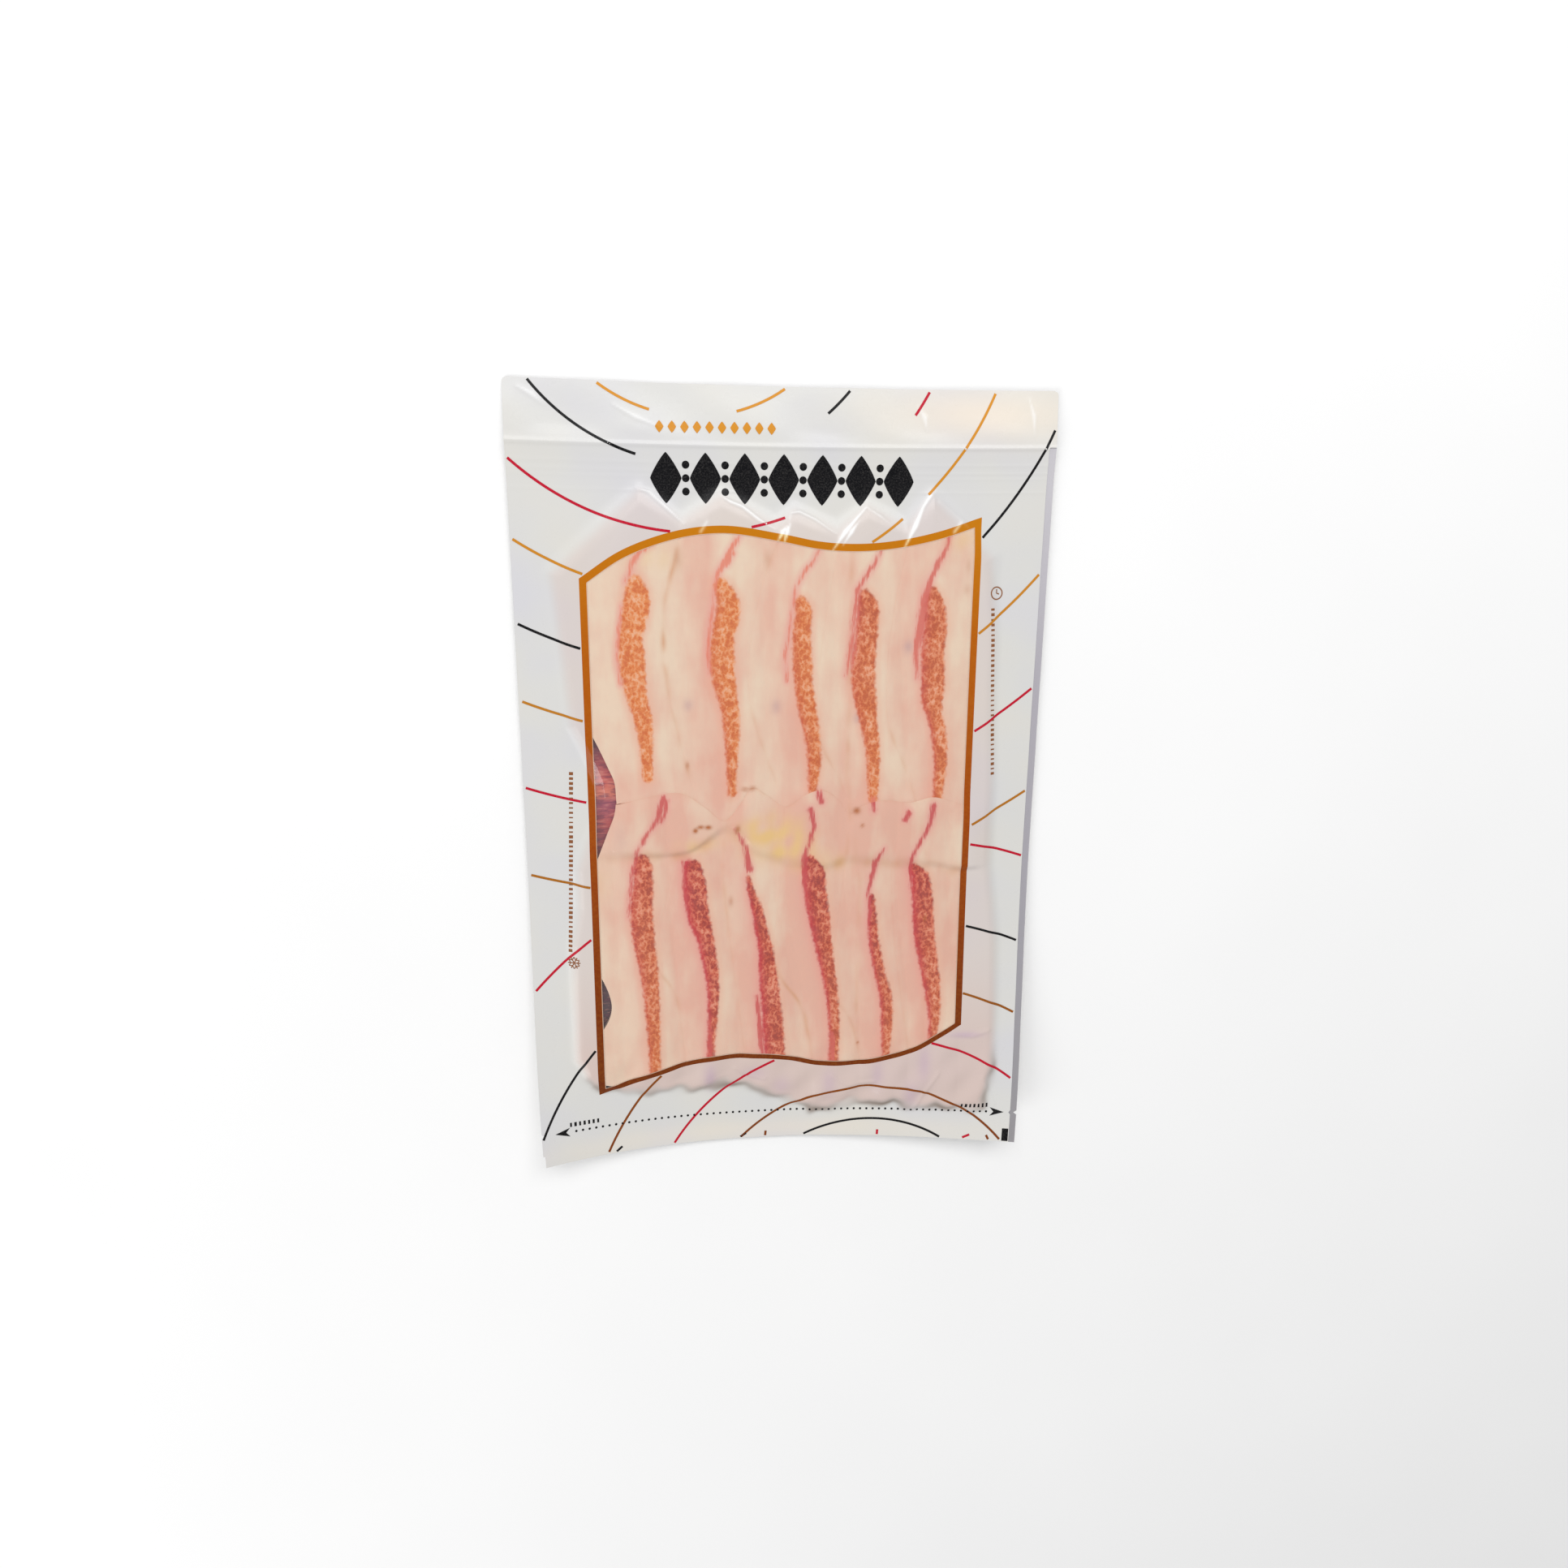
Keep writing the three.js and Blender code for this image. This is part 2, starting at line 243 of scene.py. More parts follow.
WAVE_COUNT = 7
PITCH_SPREAD = (0.7, 1.6)


def waves(x, y, height, pitch, seed):
    """Soft unevenness of about this height: some waves of roughly one pitch in seeded directions."""
    chance = np.random.default_rng(seed)
    total = np.zeros(np.shape(x))
    for _ in range(WAVE_COUNT):
        turn, shift = chance.uniform(0, 2 * math.pi, 2)
        length = pitch * chance.uniform(*PITCH_SPREAD)
        total += np.sin(2 * math.pi * (x * math.cos(turn) + y * math.sin(turn)) / length + shift)
    return height * (total / (WAVE_COUNT / 2))


# ---- Form of the pouch ----

def crease_y(x):
    across = x / HALF_WIDTH
    return CREASE_Y + CREASE_SLANT * across + CREASE_BOW * across ** 2


def top_edge_y(x):
    return HALF_LENGTH - TOP_EDGE_SAG * (1 - (x / HALF_WIDTH) ** 2)


def curl_share(curl, x, y):
    """How far a point lies on a bottom corner's curl, across and down the pouch."""
    start = curl["side"] * curl["start"]
    across = np.maximum(0, (curl["side"] * x - start) / (HALF_WIDTH - start))
    down = np.maximum(0, (CURL_START_Y - y) / (CURL_START_Y + HALF_LENGTH))
    return across, down ** 2


def pose_height(x, y):
    """Lift of the whole pouch at a point: both curled corners, the crease and the folded flap."""
    lift = np.zeros(np.shape(x))
    for curl in (CURL_LEFT, CURL_RIGHT):
        across, down = curl_share(curl, x, y)
        lift = lift + curl["lift"] * across ** curl["power"] * down
    crease = crease_y(x)
    body = CREASE_RISE * np.maximum(0, 1 - (crease - y) / CREASE_RUN) ** 2
    along = (y - crease) / (top_edge_y(x) - crease)
    drop = mix(FLAP_DROP_LEFT, FLAP_DROP_RIGHT, (x + HALF_WIDTH) / (2 * HALF_WIDTH))
    flap = mix(CREASE_RISE, -drop, along)
    return lift + np.where(y <= crease, body, flap)


def draw_in(x, y):
    """Sideways shift of a point: a curled corner reaches less far out than a flat one."""
    shift = np.zeros(np.shape(x))
    for curl in (CURL_LEFT, CURL_RIGHT):
        across, down = curl_share(curl, x, y)
        shift = shift - curl["side"] * curl["draw_in"] * across ** curl["draw_power"] * down ** 2
    return shift


band_foot = through(BAND_FOOT)
band_softness = through(BAND_SOFTNESS)
lower_head = through(LOWER_HEADS)


def slice_crown(middles, row, x, y):
    """1 on the middle line of a slice and 0 between two slices."""
    along = rise(0, 1, (row[0] - y) / (row[0] - row[1]))
    nearest = np.min([np.abs(x - mix(head, tail, along)) for head, tail in middles], axis=0)
    pitch = (middles[-1][0] - middles[0][0]) / (len(middles) - 1)
    return 1 - np.minimum(1, nearest / (pitch / 2)) ** 2


SEAM_SOFTNESS = 1.6  # the film steps up this far to both sides of a seam
SEAM_SINK = 7  # and it has mostly sunk back this far beyond it


def seam_steps(left_edges, x, y):
    """The film steps up where a slice begins to lie on its left neighbour, and sinks back slowly."""
    step = np.zeros(np.shape(x))
    for edge in left_edges[1:]:
        past = x - through(edge)(y)
        up = rise(-SEAM_SOFTNESS, SEAM_SOFTNESS, past)
        step = step + SEAM_STEP * up * np.exp(-np.maximum(0, past) / SEAM_SINK)
    return step


HEAD_SOFTNESS = 7  # the lower row's relief sets in over this distance to both sides of its heads
FURROW_DEPTH = 0.1  # at the foot of the band
FURROW_SHARE = 1.3  # its width, in the band's softnesses


def slice_relief(x, y):
    """Relief of the two rows: crowned slices, their seams, and a raised band where the rows overlap."""
    foot, soft = band_foot(x), band_softness(x)
    below_heads = rise(HEAD_SOFTNESS, -HEAD_SOFTNESS, y - lower_head(x))
    above_foot = rise(-soft, soft, y - foot)
    upper = SLICE_CROWN * slice_crown(UPPER_MIDDLES, UPPER_ROW, x, y) + seam_steps(UPPER_LEFT_EDGES, x, y)
    lower = SLICE_CROWN * slice_crown(LOWER_MIDDLES, LOWER_ROW, x, y) + seam_steps(LOWER_LEFT_EDGES, x, y)
    furrow = FURROW_DEPTH * np.exp(-((y - foot + soft) / (FURROW_SHARE * soft)) ** 2)
    return mix(upper, lower, below_heads) + OVERLAP_RISE * below_heads * above_foot - furrow


# Folds of the film, as (height, width, strength of the painted highlight along it, line). A line's knots are
# (x, y, half width), and the half width is negative where the fold runs out.
FOLDS = [
    (0.3, 0.6, 0.6, [(-55.1, 113.6, -.8), (-50, 112, -.1), (-43.7, 106.5, 0), (-37.7, 101, -.6)]),
    (0.3, 0.6, 0.75, [(-25.6, 111.8, -.8), (-20.9, 109.1, 0), (-16.5, 107.5, 0), (-10.6, 103, 0),
                      (-4.7, 99.6, -.5)]),
    (0.25, 0.6, 0.5, [(0.4, 101.7, -.5), (1.2, 105.4, -.3), (4.2, 106, -.1), (10.2, 103.3, -.1),
                      (17.9, 98.2, -.5)]),
    (0.25, 0.5, 1, [(1.5, 103.1, -1), (-0.3, 98.8, .35), (-1.4, 94.5, -.6)]),
    (0.25, 0.5, 1, [(0.3, 101.7, -1), (-1.9, 98.6, .3), (-3.8, 95, -.6)]),
    (0.25, 0.6, 0.5, [(29.1, 107.8, -.4), (34.4, 104.7, -.2), (39, 101.3, -.8)]),
    (0.3, 0.5, 1, [(29, 107.8, -.4), (24.3, 102.5, 0), (21.4, 99, .35), (16.4, 91.8, -.6)]),
    (0.25, 0.5, 1, [(26.7, 103.4, -.8), (23.6, 99, .2), (20.4, 94.1, -.6)]),
    (0.3, 0.6, 1, [(53.1, 112.4, 0), (50.3, 108.1, -.1), (47.5, 101.4, .4), (43.5, 93.2, -.5)]),
    (0.1, 1.2, 0.4, [(-29.6, 101.8, 0), (-31.8, 98.4, 0)]),
    (0.1, 0.8, 0.5, [(65.3, 103, 0), (62.4, 99.4, 0)]),
    (0.2, 1.0, 0.1, [(57, 110, -.3), (66, 103, 0), (73, 96, -1.5)]),
    (0.4, 0.9, 0, [(65, -119.8, 0), (60.7, -127.6, 0), (55.1, -137.3, 0)]),
    (0.4, 0.9, 0, [(70, -103.4, -.8), (79, -104, 0), (86, -101.6, -.3)]),
    (0.35, 0.9, 0, [(-20, -116, 0), (-14, -120, 0), (-8, -121, 0)]),
    (0.35, 0.9, 0, [(20, -121, 0), (27, -125, 0), (38, -124, 0)]),
    (0.3, 0.9, 0, [(84, -122, 0), (90, -134, 0)]),
    (0.12, 0.8, 0.5, [(-62, 141.5, -.5), (-54, 137.5, .1), (-45, 134, -.6)]),
    (0.12, 0.8, 0.5, [(-95, 147, -.4), (-90, 144.5, .2), (-86, 141, -.6)]),
    (0.12, 0.8, 0.5, [(47.5, 143, -.6), (50, 139.5, .3), (51, 135, -.6)]),
    (0.12, 0.8, 0.5, [(89, 147, -.5), (91, 141, .2), (91.5, 134, -.6)]),
]
PAINTED_GLINT_WIDTH = 0.55  # how far the painted highlight of a fold fades out beside it
SEAL_LINES = [(122.2, 0.07), (119.4, 0.07), (117.4, 0.05), (112.6, 0.06)]  # (y, height)
SEAL_LINE_WIDTH = 0.5
CREASE_BEAD_HEIGHT = 0.3
CREASE_BEAD_BELOW = 0.4
CREASE_BEAD_WIDTH = 0.7
# Unevenness, as (height, pitch, seed).
FLAP_WAVE = (0.22, 26, 11)
MARGIN_WAVE = (0.1, 34, 12)
LUMPS = (0.75, 14, 13)
FOOT_BUMPS = (0.85, 11, 22)
# Where they set in, each as the places from and to which they grow.
FLAP_WAVE_ABOVE_CREASE = (0, 6)
MARGIN_WAVE_BELOW_CREASE = (0, -8)
MARGIN_WAVE_INSIDE = (6, -2)
LUMPS_Y = (-96, -124)
LUMPS_INSIDE = (-2, 6)
FOOT_BUMPS_Y = (-108, -120)


def slack(x, y, inside):
    """Slack waves that both films share on the flap and in the margins."""
    above_crease = y - crease_y(x)
    in_margin = rise(*MARGIN_WAVE_INSIDE, inside) * rise(*MARGIN_WAVE_BELOW_CREASE, above_crease)
    on_flap = rise(*FLAP_WAVE_ABOVE_CREASE, above_crease)
    return waves(x, y, *MARGIN_WAVE) * in_margin + waves(x, y, *FLAP_WAVE) * on_flap


def wrinkles(x, y, inside):
    """Fine relief of the front film: folds, heat-seal lines, the crease's bead and lumps at the bottom."""
    relief = np.zeros(np.shape(x))
    for height, width, _, line in FOLDS:
        relief += height * np.exp(-(off_line(line, x, y) / width) ** 2)
    above_crease = y - crease_y(x)
    for line_y, height in SEAL_LINES:
        relief += height * np.exp(-((above_crease + CREASE_Y - line_y) / SEAL_LINE_WIDTH) ** 2)
    relief += CREASE_BEAD_HEIGHT * np.exp(-((above_crease + CREASE_BEAD_BELOW) / CREASE_BEAD_WIDTH) ** 2)
    return relief + rise(*LUMPS_Y, y) * rise(*LUMPS_INSIDE, inside) * waves(x, y, *LUMPS)


def painted_fold_glints(x, y):
    """Painted highlight along the film's sharp folds: how white the film is drawn there."""
    lines = []
    for _, _, white, line in FOLDS:
        beside = np.maximum(off_line(line, x, y), 0)
        lines.append(white * soft_line(beside, PAINTED_GLINT_WIDTH))
    return np.max(lines, axis=0)


def inside_block(x, y):
    """Distance of points inside the slices' block, whose foot is bumpy; negative outside it."""
    return reach_into(BLOCK_OUTLINE, x, y) + waves(x, y, *FOOT_BUMPS) * rise(*FOOT_BUMPS_Y, y)


TENTS_Y = (76, 94)  # the slopes below change from the rows' to the tents' over this stretch
SLOPE_OUTSIDE = (3.5, 5.5)  # the film begins to climb this far outside the block's edge, at rows and tents
SLOPE_INSIDE = (3.2, 4.5)  # and is up this far inside it
RELIEF_RUN = 9  # the slices' relief grows over this distance inside the edge
BACK_SAG = (-7, 6)  # the backing sinks to the ground from outside the edge to inside it


def front_height(x, y):
    """Height of the front film over a point of its plan."""
    inside = inside_block(x, y)
    on_tents = rise(*TENTS_Y, y)
    swell = rise(-mix(*SLOPE_OUTSIDE, on_tents), mix(*SLOPE_INSIDE, on_tents), inside)
    margin = MARGIN_HEIGHT + LAMINATE / 2
    relief = slice_relief(x, y) * rise(0, RELIEF_RUN, inside) + wrinkles(x, y, inside) + slack(x, y, inside)
    return margin + swell * (CONTENTS_HEIGHT - margin) + relief + pose_height(x, y)


def back_height(x, y):
    """Height of the backing's outer face."""
    margin = MARGIN_HEIGHT - LAMINATE / 2
    inside = inside_block(x, y)
    level = margin * (1 - rise(*BACK_SAG, inside)) + slack(x, y, inside) + pose_height(x, y)
    return np.maximum(level, BACK_CLEARANCE)


def place(x, y, height):
    """Points in metres for a plan point and a height, with the curled corners drawn in."""
    return np.stack([x + draw_in(x, y), y + 0 * x, height + 0 * x], -1) * MM


# ---- Meshes ----

def grid_faces(rows, columns, kept=None, turned=False):
    """Quads of a grid whose points are numbered row by row, facing up, or down where turned."""
    at = np.arange(rows * columns).reshape(rows, columns)
    quads = np.stack([at[:-1, :-1], at[:-1, 1:], at[1:, 1:], at[1:, :-1]], -1)
    quads = quads.reshape(-1, 4) if kept is None else quads[kept]
    return quads[:, ::-1] if turned else quads


def rim_of(rows, columns):
    """Point numbers round a grid's edge, anticlockwise from above."""
    at = np.arange(rows * columns).reshape(rows, columns)
    return np.concatenate([at[0, :-1], at[:-1, -1], at[-1, :0:-1], at[:0:-1, 0]])


def add_piece(name, points, faces, material, fields=None, stands_for_pouch=True):
    """Makes a piece of points in metres and faces; fields are numbers given to each point."""
    used, faces = np.unique(faces, return_inverse=True)
    faces = faces.reshape(-1, 4)
    mesh = bpy.data.meshes.new(name)
    mesh.from_pydata(points.reshape(-1, 3)[used].tolist(), [], faces.tolist())
    for field, values in (fields or {}).items():
        attribute = mesh.attributes.new(field, "FLOAT", "POINT")
        attribute.data.foreach_set("value", np.ravel(values)[used].astype(np.float32))
    return finish_piece(name, mesh, material, stands_for_pouch)


SHARP_FROM = 50  # degrees between faces


def finish_piece(name, mesh, material, stands_for_pouch):
    mesh.polygons.foreach_set("use_smooth", [True] * len(mesh.polygons))
    mesh.set_sharp_from_angle(angle=math.radians(SHARP_FROM))
    mesh.materials.clear()
    mesh.materials.append(material)
    mesh.update()
    piece = bpy.data.objects.new(name, mesh)
    bpy.context.scene.collection.objects.link(piece)
    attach(piece, "root")
    if stands_for_pouch:
        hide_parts("sealed_pouch")
    return piece


# ---- Materials ----

def linear(code):
    """Scene-linear colour of an sRGB hex code."""
    parts = [int(code[i:i + 2], 16) / 255 for i in (1, 3, 5)]
    return (*[c / 12.92 if c <= 0.04045 else ((c + 0.055) / 1.055) ** 2.4 for c in parts], 1)


MIX_SHARE, MIX_FIRST, MIX_LAST, MIX_COLOUR = 0, 6, 7, 2  # sockets of a colour Mix node
FROM_LOW, FROM_HIGH, TO_LOW, TO_HIGH = 1, 2, 3, 4  # sockets of a Map Range node


def new_material(name):
    material = bpy.data.materials.new(name)
    material.use_nodes = True
    material.node_tree.nodes.clear()
    return material, material.node_tree


def add(tree, kind, inputs=None, stops=None, **settings):
    """Adds a node with its settings, its ramp's (place, colour) stops, and its inputs.

    An input is a value, a hex code, an output of another node, or that node itself for its first output.
    """
    node = tree.nodes.new(kind)
    for name, value in settings.items():
        setattr(node, name, value)
    if stops:
        ramp = node.color_ramp.elements
        while len(ramp) < len(stops):
            ramp.new(1)
        for element, (position, code) in zip(ramp, stops):
            element.position = position
            element.color = linear(code)
    for name, value in (inputs or {}).items():
        if isinstance(value, bpy.types.Node):
            value = value.outputs[0]
        if isinstance(value, bpy.types.NodeSocket):
            tree.links.new(value, node.inputs[name])
        else:
            node.inputs[name].default_value = linear(value) if isinstance(value, str) else value
    return node


def layered(tree, colour, layers):
    """A colour under layers of (share, colour), the last on top; all are inputs as add() takes them."""
    for share, cover in layers:
        mixed = add(tree, "ShaderNodeMix", {MIX_SHARE: share, MIX_FIRST: colour, MIX_LAST: cover},
                    data_type="RGBA")
        colour = mixed.outputs[MIX_COLOUR]
    return colour


def in_millimetres(tree):
    """The point's own coordinates in millimetres, so that a noise of scale 1 / 6 has grains of 6 mm."""
    here = add(tree, "ShaderNodeTexCoord")
    return add(tree, "ShaderNodeMapping", {"Vector": here.outputs["Object"], "Scale": (1 / MM,) * 3})


FILM_FIELDS = ("touch", "shade", "ghost", "cream", "painted_glint")


def printed_laminate():
    """White printed PA/PE laminate, reverse printed and heat sealed: even white with a soft gloss, a trace
    of cream and lilac in it, and a warm pink cast where it lies tight on the slices; its cream layer also
    paints the flap and the bottom strip lighter, and it has painted shade at the block's foot and painted
    highlights along its folds."""
    material, tree = new_material("printed_laminate")
    where = in_millimetres(tree)
    patches = add(tree, "ShaderNodeTexNoise", {"Vector": where, "Scale": 1 / 45, "Detail": 2})
    white = add(tree, "ShaderNodeValToRGB", {0: patches}, stops=[
        (0.3, "#dfdcd5"), (0.5, "#dcdbd8"), (0.7, "#d8d7db")])
    touch, shade, ghost, cream, painted_glint = (
        add(tree, "ShaderNodeAttribute", attribute_name=name).outputs["Fac"] for name in FILM_FIELDS)
    # The cream layer is partly painted light on the flap and the bottom strip, the shade layer is painted
    # shade at the block's foot, and the last layer is a painted highlight along the folds.
    colour = layered(tree, white, [
        (cream, "#f6e7d2"), (touch, "#d6bcb3"), (ghost, "#bfa4bc"), (shade, "#94867c"), (painted_glint, "#ffffff")])
    grain = add(tree, "ShaderNodeTexNoise", {"Vector": where, "Scale": 1 / 3.5, "Detail": 3})
    bump = add(tree, "ShaderNodeBump", {"Strength": 0.35, "Distance": 0.12 * MM, "Height": grain})
    rough = add(tree, "ShaderNodeMapRange", {0: grain, TO_LOW: 0.22, TO_HIGH: 0.36})
    shader = add(tree, "ShaderNodeBsdfPrincipled", {
        "Base Color": colour, "Roughness": rough, "IOR": 1.5, "Specular IOR Level": 0.3,
        "Coat Weight": 0.12, "Coat Roughness": 0.12, "Normal": bump})
    add(tree, "ShaderNodeOutputMaterial", {0: shader})
    return material


def up_the_pouch(tree, where):
    """0 at the pouch's bottom edge and 1 at its top, and the point's separate coordinates."""
    axes = add(tree, "ShaderNodeSeparateXYZ", {0: where})
    up = add(tree, "ShaderNodeMapRange", {
        0: axes.outputs["Y"], FROM_LOW: -HALF_LENGTH, FROM_HIGH: HALF_LENGTH})
    return up, axes


def frame_ink():
    """Ochre gravure ink of the window's frame: golden at the top, running to red brown at the bottom, with
    the white under it peeping out along its inner side, and a painted highlight where the film's folds cross
    it."""
    material, tree = new_material("frame_ink")
    where = in_millimetres(tree)
    up, _ = up_the_pouch(tree, where)
    tint = add(tree, "ShaderNodeValToRGB", {0: up}, stops=[
        (0.1, "#6e2c02"), (0.25, "#7e3202"), (0.5, "#a24802"), (0.7, "#b65e00"), (0.84, "#c87a00")])
    grain = add(tree, "ShaderNodeTexNoise", {"Vector": where, "Scale": 1 / 1.2, "Detail": 3})
    worn = add(tree, "ShaderNodeMapRange", {
        0: grain, FROM_LOW: 0.35, FROM_HIGH: 0.8, TO_LOW: 0, TO_HIGH: 0.12})
    rim, painted_glint = (
        add(tree, "ShaderNodeAttribute", attribute_name=name).outputs["Fac"] for name in ("rim", "painted_glint"))
    white = add(tree, "ShaderNodeMapRange", {
        0: rim, FROM_LOW: 0.5, FROM_HIGH: 0.75, TO_LOW: 0, TO_HIGH: 0.8})
    # The last layer is a painted highlight where the film's folds cross the frame.
    colour = layered(tree, tint, [(worn, "#d58a2a"), (white, "#e6cfb8"), (painted_glint, "#fff0b8")])
    shader = add(tree, "ShaderNodeBsdfPrincipled", {
        "Base Color": colour, "Roughness": 0.18, "IOR": 1.5, "Specular IOR Level": 0.2})
    add(tree, "ShaderNodeOutputMaterial", {0: shader})
    return material


def line_ink(name, top_code, bottom_code):
    """Thin gravure line under gloss film; the ink's tint drifts from the top of the pouch to its bottom."""
    material, tree = new_material(name)
    where = in_millimetres(tree)
    up, _ = up_the_pouch(tree, where)
    dots = add(tree, "ShaderNodeTexNoise", {"Vector": where, "Scale": 1 / 0.5, "Detail": 2})
    thin = add(tree, "ShaderNodeMapRange", {
        0: dots, FROM_LOW: 0.45, FROM_HIGH: 0.8, TO_LOW: 0, TO_HIGH: 0.06})
    colour = layered(tree, bottom_code, [(up, top_code), (thin, "#cfcac4")])
    shader = add(tree, "ShaderNodeBsdfPrincipled", {
        "Base Color": colour, "Roughness": 0.28, "IOR": 1.5, "Specular IOR Level": 0.12})
    add(tree, "ShaderNodeOutputMaterial", {0: shader})
    return material


def clear_laminate():
    """Clear PA/PE barrier film, drawn tight: see-through, with crisp highlights, a trace of haze, and painted
    highlights as white haze along its folds.
    """
    material, tree = new_material("clear_laminate")
    where = in_millimetres(tree)
    ripple = add(tree, "ShaderNodeTexNoise", {"Vector": where, "Scale": 1 / 6, "Detail": 2})
    bump = add(tree, "ShaderNodeBump", {"Strength": 0.4, "Distance": 0.1 * MM, "Height": ripple})
    clear = add(tree, "ShaderNodeBsdfTransparent", {"Color": (0.985, 0.985, 0.985, 1)})
    gloss = add(tree, "ShaderNodeBsdfGlossy", {"Color": (1, 1, 1, 1), "Roughness": 0.12, "Normal": bump})
    # A thin film mirrors alike from both sides, which a Fresnel node doesn't, so its law is written out.
    slant = add(tree, "ShaderNodeLayerWeight", {"Blend": 0.5, "Normal": bump})
    grazing = add(tree, "ShaderNodeMath", {0: slant.outputs["Facing"], 1: 5.0}, operation="POWER")
    mirrored = add(tree, "ShaderNodeMath", {0: grazing, 1: 0.94, 2: 0.06}, operation="MULTIPLY_ADD")
    film = add(tree, "ShaderNodeMixShader", {0: mirrored, 1: clear, 2: gloss})
    milk = add(tree, "ShaderNodeBsdfDiffuse", {"Color": "#efe9e4"})
    haze = add(tree, "ShaderNodeMapRange", {
        0: ripple, FROM_LOW: 0.35, FROM_HIGH: 0.75, TO_LOW: 0.01, TO_HIGH: 0.035})
    # Painted highlight: the film is drawn milky white along its folds.
    painted_glint = add(tree, "ShaderNodeAttribute", attribute_name="painted_glint").outputs["Fac"]
    haze_and_glint = add(tree, "ShaderNodeMath", {0: painted_glint, 1: 0.6, 2: haze}, operation="MULTIPLY_ADD")
    hazy = add(tree, "ShaderNodeMixShader", {0: haze_and_glint, 1: film, 2: milk})
    add(tree, "ShaderNodeOutputMaterial", {0: hazy})
    return material


def backing_print():
    """Printed backing film: rose and violet fields under the window, finely lined across, lilac grey along
    the clear edge, and a plain white outside."""
    material, tree = new_material("backing_print")
    where = in_millimetres(tree)
    up, axes = up_the_pouch(tree, where)
    margin = add(tree, "ShaderNodeValToRGB", {0: up}, stops=[
        (0.0, "#989599"), (0.3, "#a8a5ad"), (0.66, "#b9b5be"), (0.9, "#d3d0d6")])
    art = add(tree, "ShaderNodeValToRGB", {0: up}, stops=[
        (0.2, "#5a3e48"), (0.39, "#a84e5c"), (0.465, "#c05658"), (0.49, "#a04460"), (0.502, "#e07c62"),
        (0.52, "#cc5c58"), (0.55, "#b8505e"), (0.572, "#a4527a"), (0.592, "#57508a")])
    lined = add(tree, "ShaderNodeMapping", {
        "Vector": where, "Rotation": (0, 0, -0.2), "Scale": (0.2, 1 / 1.2, 0.04)})
    lines = add(tree, "ShaderNodeTexNoise", {"Vector": lined, "Scale": 1, "Detail": 3})
    etched = add(tree, "ShaderNodeMapRange", {
        0: lines, FROM_LOW: 0.5, FROM_HIGH: 0.58, TO_LOW: 0, TO_HIGH: 0.6})
    glint = add(tree, "ShaderNodeMapRange", {
        0: lines, FROM_LOW: 0.44, FROM_HIGH: 0.36, TO_LOW: 0, TO_HIGH: 0.45})
    beside = add(tree, "ShaderNodeMapRange", {0: axes.outputs["X"], FROM_LOW: 60, FROM_HIGH: 75})
    printed = add(tree, "ShaderNodeAttribute", attribute_name="printed").outputs["Fac"]
    drawn = layered(tree, art, [(etched, "#7a2a4a"), (glint, "#e29486"), (beside, margin)])
    colour = layered(tree, "#e4e2de", [(printed, drawn)])
    shader = add(tree, "ShaderNodeBsdfPrincipled", {
        "Base Color": colour, "Roughness": 0.3, "IOR": 1.5, "Coat Weight": 0.3, "Coat Roughness": 0.12})
    add(tree, "ShaderNodeOutputMaterial", {0: shader})
    return material


LEAN_BUNDLE = 1.25  # size of a muscle bundle in the lean, across and along a slice
LEAN_BUNDLE_LONG = 1.9
GRAIN_SIZES = (3.6, 1.7, 0.6, 20)  # of the marbling, the bundles' raggedness, the fibres and the fat's clouds
STROKE_SIZES = ((7, 26), (0.7, 5))  # of the fat's strokes and the skins' feathering, across and along
FOOD_FIELDS = ("lean", "redness", "blush", "strand", "bloom", "yellow", "brown", "bruise", "rind_and_shade")


